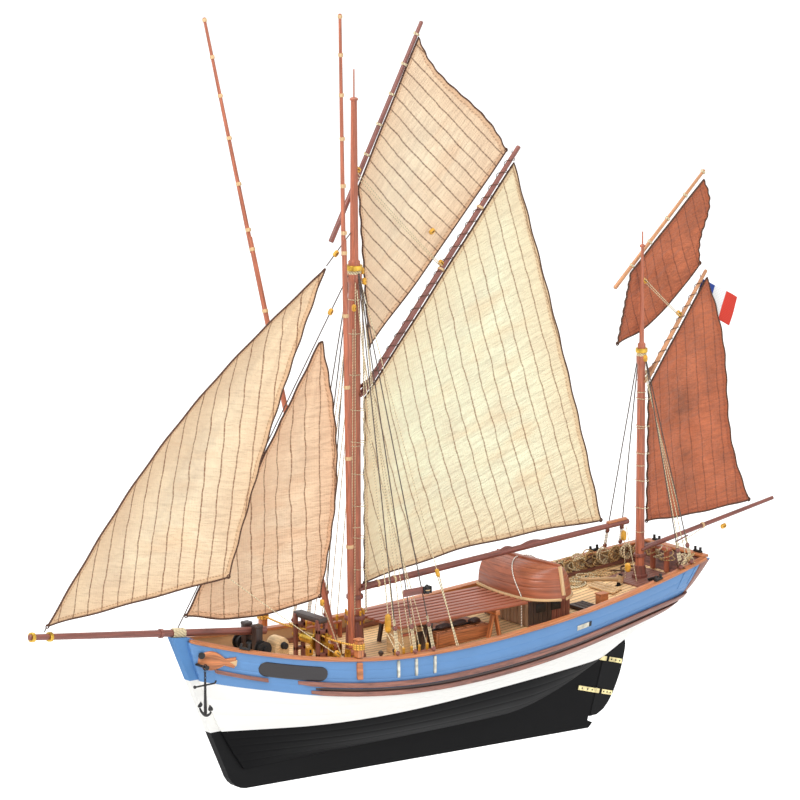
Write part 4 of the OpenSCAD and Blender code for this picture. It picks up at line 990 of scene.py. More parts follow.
class SHIP_OT_bow(ShipOperator, bpy.types.Operator):
    """Windlass, fore scuttle and the anchor"""

    bl_idname = "ship.bow"
    bl_label = "Bow gear"

    def execute(self, context):
        bitts = []
        for y0, y1 in ((-7.1, -2.5), (2.5, 7.1)):
            bitts += [box((-73.7, y0, deck_z(-71) + 0.3), (-69.1, y1, 93.2), 0.5, along=2),
                      box((-74.1, y0 - 0.3, 92.6), (-68.7, y1 + 0.3, 94.5), 0.6)]
        make("bitt_posts", bitts, "bog oak", replaces=["windlass_bitts"])
        dress("blackened iron", "windlass_barrel")
        # Scuttle: a box on a coaming under a round hood with a knob at each end
        x, low = -53.7, deck_z(-53.7)
        hatch = [box((-58.5, -4.6, low + 0.2), (-49, 4.6, 79.6), 0.5, along=1),
                 box((-59, -5.2, low + 0.1), (-48.5, 5.2, low + 2.4), 0.4, 2, along=1)]
        hood = [(0, -5), (3.2, -5), (4.3, -4.6), (4.6, -3.8), (4.6, 3.8), (4.3, 4.6), (3.2, 5), (0, 5)]
        hatch.append(lathe(hood, (x, 0, 79.7), (0, 1, 0), 32))
        knob = [(0, 0), (1.9, 0), (2.1, 0.5), (1.2, 0.9), (1.1, 1.7), (1.8, 2), (1.8, 2.5), (0, 2.7)]
        hatch += [lathe(knob, (x, 5 * side, 80), (0, side, 0), 20, 1) for side in SIDES]
        make("fore_hatch", hatch, ["oiled lime", "blackened iron", "varnished cherry"],
             replaces=["fore_scuttle"])
        # Anchor: ring, four links of chain, shank, stock with a bent end and two collars, arms and flukes
        pin = np.array([-113, -13, 79.0])
        parts = [ring(pin, (0, 1, 0), 1.35, 0.38, count=20)]
        turn = np.arange(18)[:, None] / 18 * 2 * np.pi
        for i in range(4):
            flat, tall = np.eye(3)[[i % 2, 2]]
            link = pin + [0, 0, -2.4 - 1.75 * i] + 0.55 * np.cos(turn) * flat + 1.15 * np.sin(turn) * tall
            parts.append(sweep(link, 0.26, sides=6, ref=np.cross(flat, (0, 0, 1)), loop=True))
        shank = line(pin + [0, 0, -8.2], pin + [0, 0, -26], 8)
        parts.append(sweep(shank, np.linspace(0.62, 0.95, 8), chamfer=0.2))
        t = np.linspace(0, 1, 16)[:, None]
        stock = pin + np.hstack([-7 + 13 * t, 0 * t, -10 + 0 * t])
        bend = np.hstack([1.2 * np.sin(t * 1.7), 0 * t, 1.3 * (1 - np.cos(t * 1.7))])
        path = np.vstack([stock, pin + np.array([6, 0, -10]) + bend[1:]])
        parts.append(sweep(path, 0.5, sides=10, ref=(0, 1, 0), chamfer=0.2))
        collar = [(0, -0.5), (0.8, -0.5), (0.95, 0), (0.8, 0.5), (0, 0.5)]
        parts += [lathe(collar, pin + [at, 0, -10], (1, 0, 0), 14) for at in (-7, 0)]
        swing = np.linspace(-1.1, 1.1, 23)[:, None]
        arms = pin + np.hstack([0 * swing, 5.7 * np.sin(swing), -21.2 - 5.6 * np.cos(swing)])
        parts.append(sweep(arms, 0.9 - 0.35 * np.abs(swing[:, 0]), sides=10, ref=(1, 0, 0), chamfer=0.2))
        for side in SIDES:
            tip = pin + [0, side * 5.1, -23.4]
            fluke = tip + np.linspace(0, 1, 8)[:, None] * np.array([0, -side * 1.1, 3.2])
            parts.append(sweep(fluke, [1.0, 1.5, 1.7, 1.6, 1.3, 0.95, 0.55, 0.15], 0.35, ref=(0, 1, 0.2)))
        make("anchor_forged", parts, "blackened iron", "anchor", ["anchor"])
        return {"FINISHED"}


class SHIP_OT_deck(ShipOperator, bpy.types.Operator):
    """Winch, drying rack, hatch, houses, pin rails and crutch"""

    bl_idname = "ship.deck"
    bl_label = "Deck gear"

    def execute(self, context):
        dress("satin brass", "winch_barrel", "pole_shoes")
        cheeks = []
        for y in (-10, 10):
            cheeks += [box((x, y - 1.2, deck_z(WINCH_X) + 0.4), (x + 1.9, y + 1.2, 92), along=2)
                       for x in (-34.5, -29.4)]
            cheeks += [box((-34.5, y - 1.2, z0), (-27.5, y + 1.2, z1)) for z0, z1 in ((84, 86.5), (71, 73))]
        cheeks.append(box((-34, -12, 90), (-28, 12, 93), 0.5, 1, along=1))
        make("winch_cheeks", cheeks, ["dark walnut", "bog oak"], replaces=["winch_frame"])
        slats = [box((14, (i - 4) * 5.2 - 1.7, 81.5), (106, (i - 4) * 5.2 + 1.7, 83)) for i in range(9)]
        make("rack_laths", slats, "rack walnut", replaces=["rack_slats"])
        legs = []
        for x, tone in ((34.5, 1), (82.6, 0)):
            legs.append(box((x, -23, 78.45), (x + 3, 23, 81.45), 0.3, tone, along=1))
            for y in (-19.0, 19.0):
                for lean in SIDES:
                    foot, head = x + 1.5 + 4 * lean, x + 1.5 + 0.9 * lean
                    legs.append(bar((foot, y, deck_z(foot) + 0.1), (head, y, 78.5), 0.8, 1.2, 0.2,
                                    (0, 1, 0), tone))
        make("rack_legs", legs, ["varnished cherry", "bog oak"], replaces=["rack_trestles"])
        low = deck_z(50) - 0.3
        hatch = [box((x, -15, low), (x + 1.8, 15, 72), along=1) for x in (46, 83.2)]
        hatch += [box((47.6, y, low), (83.4, y + 1.8, 72)) for y in (-15, 13.2)]
        hatch += [box((48.3 + 7 * i, -12.9, 70.6), (54.9 + 7 * i, 12.9, 72.4), 0.35, along=1)
                  for i in range(5)]
        hatch += [bar((48, y, 72.75), (83, y, 72.75), 0.9, 0.35, 0.15, (0, 0, 1), 1) for y in (-8, 8)]
        make("hold_hatch_boards", hatch, ["varnished cherry", "blackened iron"],
             replaces=["hold_hatch"])
        # Companion: walls with a doorway to port, its dark door, a roof of six boards and a grab rail
        low = deck_z(28) + 0.1
        cabin = [box((x0, y0, z0), (x1, y1, 76.6), 0.25, along=along) for x0, y0, z0, x1, y1, along in (
            (21.5, -13, low, 22.9, -1, 1), (22.5, -13, low, 33.5, -11.8, 0), (22.5, -2.2, low, 41, -1, 0),
            (39.6, -12, low, 41, -1.5, 1), (39.5, -13, low, 41, -11.8, 2), (33.3, -13, 75, 39.7, -11.8, 0))]
        cabin += [box((20.7, -13.8 + 2.27 * i, 76.6), (41.8, -11.58 + 2.27 * i, 78)) for i in range(6)]
        cabin.append(box((33.3, -11.2, low), (39.7, -10.4, 75.4), 0.2, 1, along=2))
        cabin.append(bar((22.8, -13.3, 74.9), (33, -13.3, 74.9), 0.5, 0.9, 0.2, (0, 0, 1), 2))
        make("companion_boards", cabin, ["oiled lime", "bog oak", "stained walnut"],
             replaces=["companion"])
        # After house: upright boards in three tones, a roof, two windows and a plinth
        low = deck_z(109) + 0.1
        house = []
        for i in range(9):
            x = 109 + i * 10 / 3
            house += [box((x, y, low + 0.4), (x + 3.15, y + 1.2, 81.8), 0.25, 3 if i < 5 else 0, along=2)
                      for y in (-20, 18.8)]
        for i in range(12):
            y = -18.8 + i * 37.6 / 12
            house += [box((x, y, low + 0.3), (x + 1.2, y + 3, 81.8), 0.25, tone, along=2)
                      for x, tone in ((109.1, 2), (137.7, 0))]
        house += [box((108 + 4 * i, -21, 81.8), (111.9 + 4 * i, 21, 83.1), along=1) for i in range(8)]
        house += [box((x, -20.5, 74.5), (x + 7, -19.8, 79.5), 0.3, 1) for x in (114, 125)]
        house.append(box((108.7, -20.4, low), (139.4, -19.7, low + 1.4), 0.25))
        make("after_house_boards", house, ["dark walnut", "blackened iron", "weathered beech", "bog oak"],
             replaces=["after_house"])
        rails = []
        pin = [(0, -3), (0.4, -3), (0.5, 0), (0.5, 1.4), (0.85, 2), (0.7, 3.4), (0.95, 4.4), (0.6, 5),
               (0, 5.1)]
        for side in SIDES:
            y = side * (rail_y(8) - PIN_RAIL_IN)
            rails.append(box((-6, y - 1.5, 71.8), (22, y + 1.5, 73), 0.35))
            rails += [box((x, y - 1, deck_z(x + 1) + 0.2), (x + 2, y + 1, 71.8), along=2) for x in (-6, 20)]
            rails += [lathe(pin, (x, y, 71.8), sides=12, finish=1) for x in PIN_X]
        make("pin_racks", rails, ["stained walnut", "boxwood yellow"],
             replaces=["pin_rails"])
        crutch = [box((222, y - 1.2, deck_z(224) + 0.2), (224.4, y + 1.2, 91.5), 0.35, along=2)
                  for y in (-6, 6)]
        crutch.append(box((221.6, -9, 91.3), (224.8, 9, 93.3), 0.4, along=1))
        make("crutch_timbers", crutch, "stained walnut", replaces=["boom_crutch"])
        # Yellow fairlead boxes behind the winch, each with a dark sheave slot
        small = []
        for x, y in ((-22.8, 12.6), (-14.8, 8.2)):
            z = deck_z(x) + 0.2
            small += [box((x - 2.2, y - 2, z), (x + 2.2, y + 2, z + 5.2), 0.5, along=2),
                      box((x - 0.7, y - 2.2, z + 1.8), (x + 0.7, y + 2.2, z + 3.8), 0.2, 1, along=1)]
        # Belaying bitts abreast of the mast and a black cleat abreast of the mizzen
        post = [(0, 0), (1.9, 0), (1.9, 0.6), (1, 1.2), (0.9, 5.2), (1.5, 5.8), (1.5, 7), (0.8, 7.6),
                (0, 7.7)]
        small += [lathe(post, (x, -22, deck_z(x) + 0.1), sides=14, finish=2) for x in (1.1, 11)]
        small += [box((205, -11.4, 77.4), (213.4, -9.8, 78.8), 0.4, 1),
                  box((208, -11.2, 76.4), (210.6, -10, 77.8), 0.3, 1)]
        # Low chest forward of the mast, box and stacked boards on the after deck
        z = deck_z(-8)
        small += [box((-14, 13.5, z + 0.1), (-3, 19, z + 4.4), 0.4, 3),
                  box((-14.5, 13.2, z + 4.4), (-2.5, 19.5, z + 5.3), 0.3, 3)]
        z = deck_z(163)
        small += [box((160, -22, z), (166, -17, z + 6.4), 0.4, 4),
                  box((159.6, -22.4, z + 6.3), (166.4, -16.6, z + 7.2), 0.3, 4)]
        for i in range(3):
            z = deck_z(179.5 + 3 * i) + 0.5
            small.append(box((178.3 + 3 * i, -11 + i, z), (180.9 + 3 * i, 11 + i, z + 1.1), 0.3, 5, along=1))
        # Grating: a frame with bars across
        z = deck_z(148)
        small += [box((x, -25, z + 0.3), (x + 1.6, -7, z + 2.4), 0.3, 2, along=1) for x in (147.4, 157.6)]
        small += [bar((148.4, y, z + 1.6), (158, y, z + 1.6), 0.8, 0.6, 0.2, (0, 0, 1), 2)
                  for y in -24.6 + 2.7 * np.arange(7)]
        # Platform boards round the mizzen, following the deck
        x = np.linspace(196, 221, 8)
        small += [sweep(spread(x, y, deck_z(x) + 0.45), 1.6, 0.45, corner=0.2, ref=(0, 0, 1), chamfer=0.2,
                        finish=3) for y in -13.6 + 3.4 * np.arange(9)]
        # Bundles of stowed canvas on the hold hatch
        small += [pulley((x, y, 74.3), (1, 0.2, 0), long, 2.6, 1.4, 2) for x, y, long in
                  ((55, -9.5, 11), (67, -8.5, 12), (77, -10, 8))]
        make("deck_fittings", small, ["boxwood yellow", "blackened iron", "bog oak", "stained beech",
                                      "varnished cherry", "oiled lime"])
        return {"FINISHED"}


class SHIP_OT_boat(ShipOperator, bpy.types.Operator):
    """The upturned ship's boat"""

    bl_idname = "ship.boat"
    bl_label = "Ship's boat"

    def execute(self, context):
        middle, strakes = 123.7, 12

        def hull(v, t, inset):
            """Half breadth swells by a sine and closes by a fourth power; the section is a superellipse."""
            swell = mixed(13, 17, np.sin(np.pi / 2 * np.minimum(v, 0.45) / 0.45))
            close = 17 * np.maximum(0, 1 - (np.maximum(v - 0.45, 0) / 0.55) ** 4) ** 0.8
            half = np.maximum(0.5, np.where(v < 0.45, swell, np.maximum(1.4, close)) - inset)
            tall = 17 + 1.5 * v * v - inset
            across = np.sign(np.cos(t)) * np.abs(np.cos(t)) ** 0.75
            rise = np.abs(np.sin(t)) ** 0.75
            y = mixed(27.5, -32.5, v) + 4 * v * rise + inset * ((v > 0.99) * 1.0 - (v < 0.01) * 1.0)
            return spread(middle - half * across, y, 83.4 + tall * rise)

        v = np.linspace(0, 1, 90)[:, None]
        across = np.array([0, 0.06, 0.3, 0.7, 0.94])
        t = np.append((np.arange(strakes)[:, None] + across).ravel() / strakes, 1) * np.pi
        cut = np.append(np.tile([0.16, 0, 0, 0, 0], strakes), 0.16)
        outer, inner = hull(v, t, cut), hull(v, np.linspace(0, np.pi, 25), 1.2)
        ends = np.interp(np.linspace(0, 1, 25), t / np.pi, np.arange(len(t))).round().astype(int)
        parts = [surface_part(outer, spread(t * 12, v * 60)), surface_part(inner)]
        parts += [rim(outer[:, k], inner[:, k]) for k in (0, -1)]
        parts += [rim(outer[k, ends], inner[k]) for k in (0, -1)]
        # Bow and stern are closed between the two halves of the last section
        share = np.linspace(0, 0.5, 6)[:, None, None]
        parts += [surface_part(mixed(outer[k], outer[k, ::-1], share)) for k in (0, -1)]
        keel = hull(v, np.array([np.pi / 2]), -0.35)[2:, 0]
        parts.append(sweep(keel, 0.8, 0.7, corner=0.25, ref=(0, 0, 1), chamfer=0.2))
        stem = hull(np.ones((1, 1)), np.linspace(np.pi / 2, 0.06, 20), 0)[0]
        stem[:, 0] = middle
        stem[:, 1] -= 0.5
        parts.append(sweep(stem, 0.9, 0.9, corner=0.3, ref=(1, 0, 0), chamfer=0.2, finish=1))
        for edge in (0.0, np.pi):
            gunwale = hull(v, np.array([edge]), -0.5)[:, 0]
            parts.append(sweep(gunwale, 0.55, 0.75, corner=0.25, ref=(0, 0, 1), chamfer=0.2, finish=1))
        make("ships_boat", parts, ["boat cherry", "oiled lime"], replaces=["dinghy"])
        around = np.linspace(0.02, np.pi - 0.02, 30)
        over = hull(0.36 + 0.36 * np.maximum(0, 1 - around / 1.57), around, -0.45)
        path = np.vstack([(106.5, over[0, 1] - 1, deck_z(107) + 0.5), over,
                          (140.5, over[-1, 1] - 1, deck_z(140) + 0.5)])
        make("boat_lashing", rope(path, 0.3, 8, ref=(0, 1, 0)), "white cord")
        return {"FINISHED"}


class SHIP_OT_spars(ShipOperator, bpy.types.Operator):
    """Masts, booms, gaffs, yards, bowsprit and fishing poles with their fittings"""

    bl_idname = "ship.spars"
    bl_label = "Spars"

    def execute(self, context):
        def mast(name, x, foot, hounds, truck, r0, r1, t0, t1, pin, cap):
            """A mast turned to a profile with cheeks at the hounds, a doubled head and a truck."""
            low = np.linspace(0, 1, 40)
            profile = [(0, foot)] + [(mixed(r0, r1, s), mixed(foot, hounds - 12, s)) for s in low]
            profile += [(r1 + 0.7, hounds - 11), (r1 + 0.7, hounds - 7), (r1, hounds - 6), (r1, hounds),
                        (t0 + 0.2, hounds + 0.6)]
            profile += [(mixed(t0, t1, s), mixed(hounds + 1, truck, s)) for s in low]
            profile += [(cap, truck + 0.1), (cap, truck + 1.1), (cap * 0.6, truck + 1.6), (0.45, truck + 1.8),
                        (0.4, truck + pin - 0.5), (0, truck + pin)]
            make(name + "_turned", lathe(profile, (x, 0, 0), sides=28), "stained walnut",
                 replaces=[name])

        mast("main_mast", 0, 20, 287, 376, 3.7, 3.3, 2.4, 1.7, 17.4, 2.3)
        mast("mizzen_mast", MIZZEN_X, 66.8, 214, 270, 2.7, 2.3, 1.4, 0.8, 9.3, 1.6)
        # Heel, tip and radii, finish and slot, reach of the jaws, and shares of the length with a pale band
        dark, pale = ("dark walnut", "dark_wood"), ("oiled beech", "dark_wood")
        red = ("oiled beech", "rail_wood")
        spars = {
            "bowsprit": (*BOWSPRIT, 2.2, 1.7, dark, 0, ()),
            "main_boom": ((4.2, 0, 102.6), (199, 0, 111.5), 2, 1.6, dark, 3.1, (0.06, 0.12)),
            "main_gaff": ((5.3, 0, 212), (116.6, 0, 338), 1.8, 1.3, dark, 3.1, (0.5, 0.75)),
            "topsail_yard": ((-11.5, 6, 298), (52, 6, 413.7), 1.5, 1.1, dark, 0, ()),
            "mizzen_boom": ((211, 0, 93.7), (310.4, 0, 109), 1.5, 1.1, dark, 2.2, (0.45,)),
            "mizzen_gaff": ((212, 0, 192), (256.5, 0, 251), 1.4, 1, pale, 2.2, ()),
            "mizzen_yard": ((191.7, 5, 247.3), (258.7, 5, 308.3), 1.2, 0.9, red, 0, ()),
        }
        t, s = np.linspace(0, 1, 30), np.linspace(0, 1, 10)[:, None]
        for name, (p, q, r0, r1, (finish, slot), reach, shares) in spars.items():
            p, q = vec(p), vec(q)
            way = unit(q - p)
            parts = [sweep(mixed(p, q, t[:, None]), mixed(r0, r1, t), sides=18, chamfer=0.4)]
            for side in SIDES if reach else ():
                out = np.array([0, side, 0]) * (r0 * 0.6 + reach * s ** 0.7)
                jaw = p + way * 9 * (1 - s) + np.array([-4.2, 0, 0]) * s + out
                parts.append(sweep(jaw, np.linspace(0.5, 0.8, 10), np.linspace(1.1, 0.8, 10), sides=10,
                                   ref=(0, 0, 1), chamfer=0.2))
            band = [(0.5, -0.7), (r0 + 0.15, -0.7), (r0 + 0.3, 0), (r0 + 0.15, 0.7), (0.5, 0.7)]
            parts += [lathe(band, mixed(p, q, share), way, 18, 1) for share in shares]
            if name == "main_boom":
                # Two chocks and a cleat board on its upper side
                for share, long in ((0.535, 4.5), (0.63, 7)):
                    hump = mixed(p, q, share) + np.linspace(-1, 1, 9)[:, None] * way * long + [0, 0, 1.6]
                    high = 1.5 * np.cos(np.linspace(-1.4, 1.4, 9))
                    parts.append(sweep(hump, 0.9, high, sides=10, ref=(0, 0, 1)))
                tip = mixed(p, q, 0.955) + [0, 0, 1.9]
                parts.append(bar(tip - way * 7, tip + way * 7, 1.2, 0.7, ref=(0, 0, 1), finish=2))
            make(name + "_turned", parts, [finish, "oiled lime", "varnished cherry"],
                 replaces=[name])
        # Fishing poles of two lengths lashed together, with bands and a bored cheek at the foot
        t, lead = np.linspace(0, 1, 40), math.radians(1.18)
        cheek = [(0.87, -2), (2, -2), (2.2, -1.7), (2.2, 1.7), (2, 2), (0.87, 2), (0.87, -2)]
        for name, side, tilt in (("pole_port", -1, 0.0), ("pole_starboard", 1, math.radians(17.6))):
            pivot = np.array([-8, side * 7.5, deck_z(-8) + 5.1])
            way = np.array([-math.sin(lead), side * math.cos(lead) * math.sin(tilt),
                            math.cos(lead) * math.cos(tilt)])
            joint = pivot + way * 232
            low = mixed(pivot + way * 2.4, joint, t[:, None])
            high = mixed(joint - way * 9 + [0, 0.7, 0], pivot + way * 356.5, t[:, None])
            parts = [sweep(low, mixed(1.9, 1.36, t), sides=16, chamfer=0.2),
                     sweep(high, mixed(1.3, 0.85, t), sides=16, chamfer=0.2)]
            for at in (60, 110, 150, 190, 225, 236, 262, 288, 312, 334, 355):
                r = mixed(2, 1, at / 358) + 0.2
                band = [(0.4, -1), (r, -1), (r + 0.12, 0), (r, 1), (0.4, 1)]
                parts.append(lathe(band, pivot + way * at, way, 16, 1))
            parts.append(lathe(cheek, pivot, (1, 0, 0)))
            make(name + "_shaft", parts, ["stained walnut", "oiled lime"], name, [name])
        # Mast coats, belaying pins, boom saddles, hound bands and the rings of the bowsprit
        coat = [(3.8, 64.1), (6.3, 64.1), (6.3, 65.3), (5.5, 65.9), (4.6, 84.8), (5.6, 85.2), (5.8, 85.5),
                (5.8, 87.6), (5.5, 88), (3.7, 88.2)]
        step = [(2.8, 77), (4.5, 77), (4.6, 77.4), (4.5, 78.8), (3.7, 79.2), (3.3, 84), (2.6, 84.2)]
        bands = [lathe(coat), lathe(step, (MIZZEN_X, 0, 0))]
        pin = [(0, -2.4), (0.35, -2.4), (0.4, 2.6), (0.7, 3.2), (0.55, 4.2), (0.75, 5), (0.4, 5.5), (0, 5.6)]
        bands += [lathe(pin, (5 * math.cos(turn), 5 * math.sin(turn), 85.4), sides=10, finish=2)
                  for turn in np.arange(8) * math.pi / 4]
        for x, z, r, top, finish in ((0, 97.1, 4.8, 99.5, 0), (0, 282, 4.6, 285, 1),
                                     (MIZZEN_X, 89.2, 3.7, 91.2, 0), (MIZZEN_X, 209, 3.5, 211.6, 1)):
            hoop = [(r - 1.6, z), (r - 0.3, z), (r, z + 0.3), (r, top - 0.3), (r - 0.3, top), (r - 1.6, top)]
            bands.append(lathe(hoop, (x, 0, 0), finish=finish))
        heel, tip = vec(BOWSPRIT)
        for x, r, finish in ((-217.5, 2.6, 1), (-206, 2.6, 1), (-133, 2.5, 0)):
            hoop = [(1.6, -1), (r, -1), (r + 0.15, 0), (r, 1), (1.6, 1)]
            at = mixed(heel, tip, (x - heel[0]) / (tip[0] - heel[0]))
            bands.append(lathe(hoop, at, tip - heel, finish=finish))
        make("mast_bands", bands, ["dark walnut", "satin brass", "boxwood yellow"],
             replaces=["spar_bands"])
        # Seizings on the masts, and loops that hold the luffs of the two gaff sails
        hoops = [ring((x, 0, z), (lean, 0, 1), r, thick, count=count, turns=True)
                 for x, lean, r, thick, count, heights in (
                     (0, 0, 3.6, 0.2, 28, (92, 138, 184, 224, 247, 266)),
                     (MIZZEN_X, 0, 2.6, 0.18, 28, (104, 143, 165, 186)),
                     (1.6, 0.1, 5.2, 0.2, 32, range(114, 206, 18)),
                     (MIZZEN_X + 1.2, 0.1, 3.9, 0.18, 28, range(118, 186, 16))) for z in heights]
        make("mast_hoops", hoops, "cream cord")
        return {"FINISHED"}


class SHIP_OT_sails(ShipOperator, bpy.types.Operator):
    """Six sewn sails with bolt ropes and lacing, and the flag"""

    bl_idname = "ship.sails"
    bl_label = "Sails and flag"

    def execute(self, context):
        sizes = context.scene.ship_sizes
        # Finish, slot, lean of the seams, flat width and length in metres, what holds the sail
        facts = {
            "jib": ("undyed cotton", "tan_cloth", 0.2, (0.073, 0.245), ["stays"]),
            "staysail": ("wavy cotton", "tan_cloth", 0.0, (0.095, 0.146), ["stays"]),
            "mainsail": ("bleached cotton", "cream_cloth", -0.33, (0.175, 0.226), ["main_gaff", "main_mast"]),
            "topsail": ("tea-dyed cotton", "tan_cloth", -1.05, (0.097, 0.138), ["topsail_yard"]),
            "mizzen_sail": ("tanned cotton", "red_cloth", -0.12, (0.08, 0.14),
                            ["mizzen_gaff", "mizzen_mast"]),
            "mizzen_topsail": ("tanned cotton", "red_cloth", -0.3, (0.052, 0.078), ["mizzen_yard"]),
        }
        share = np.linspace(0, 1, 121)
        a, b = np.meshgrid(share, share, indexing="ij")
        s = np.linspace(0, 1, 90)
        out, back = s[:-1], s[:0:-1]
        for name, (finish, slot, lean, flat, holders) in facts.items():
            points = sail_point(name, a, b)
            across, upward = points[..., 0], points[..., 2]
            uv = spread(across - lean * upward, upward + lean * across) / math.hypot(1, lean)
            cloth = make(name + "_cloth", surface_part(points, uv), finish, replaces=[name])
            # Distance to the nearest edge: shares times the local width and height
            wide = np.linalg.norm(points[-1] - points[0], axis=-1)
            tall = np.linalg.norm(points[:, -1] - points[:, 0], axis=-1)[:, None]
            hem = np.minimum(np.minimum(a, 1 - a) * wide, np.minimum(b, 1 - b) * tall).ravel()
            if len(cloth.data.vertices) != len(hem):
                raise RuntimeError(f"{name}: the cloth lost points when it was welded")
            values = cloth.data.attributes.new("hem", "FLOAT", "POINT").data
            values.foreach_set("value", hem.astype(np.float32))
            thicken(cloth, sizes.cloth)
            edges = ((out, 0.0), (1.0, out), (back, 1.0), (0.0, back))
            border = np.concatenate([sail_point(name, *edge) for edge in edges])
            parts = [rope(border, sizes.bolt_rope / MM, 8, ref=(0, 1, 0), loop=True)]
            parts += [ring(SAILS[name][k], (0, 1, 0), 1.0, 0.35, count=14, turns=True) for k in (0, 3)]
            trim = make(name + "_bolt_rope", parts, "brown cord")
        lacing = [helix((9, 0, 216.2), (114, 0, 335), 2.1, 0.22, 8.4),
                  helix((214, 0, 194.7), (254, 0, 247.8), 1.6, 0.2, 7.5)]
        # Ties of two turns each on the two yards
        for p, q, radius, count in (((4.6, 6, 327.4), (48, 6, 406.4), 1.6, 6),
                                    ((204, 5, 258.5), (257, 5, 306.75), 1.3, 5)):
            long = unit(np.subtract(q, p)) * 1.3
            lacing += [helix(spot, spot + long, radius, 0.3, 0.65, 1) for spot in line(p, q, count)]
        make("head_lacing", lacing, ["brown cord", "cream cord"])
        # Flag: a waving sheet between the two ends of its hoist, carried out along the fly
        a, b = np.meshgrid(np.linspace(0, 1, 61), np.linspace(0, 1, 25), indexing="ij")
        low, top, fly = vec([(249.8, 3, 229.5), (256, 3, 245.5), (28, 0, -14.5)])
        points = mixed(low, top, b[..., None]) + a[..., None] * fly
        points[..., 1] += 1.2 * np.sin(np.radians(400 * a)) * a + 0.25 * np.sin(9 * a + 5 * b) * a
        cloth = make("flag_cloth", surface_part(points, spread(a, b)), "bunting",
                     replaces=["flag"])
        thicken(cloth, 0.0003)
        cord = [(256.4, 1.2, 250.6), (256, 3, 246.2), (249.8, 3, 229), (242, 4.5, 208)]
        halyard = make("flag_halyard", rope(cord, 0.22, ref=(0, 1, 0)), "white cord")
        return {"FINISHED"}


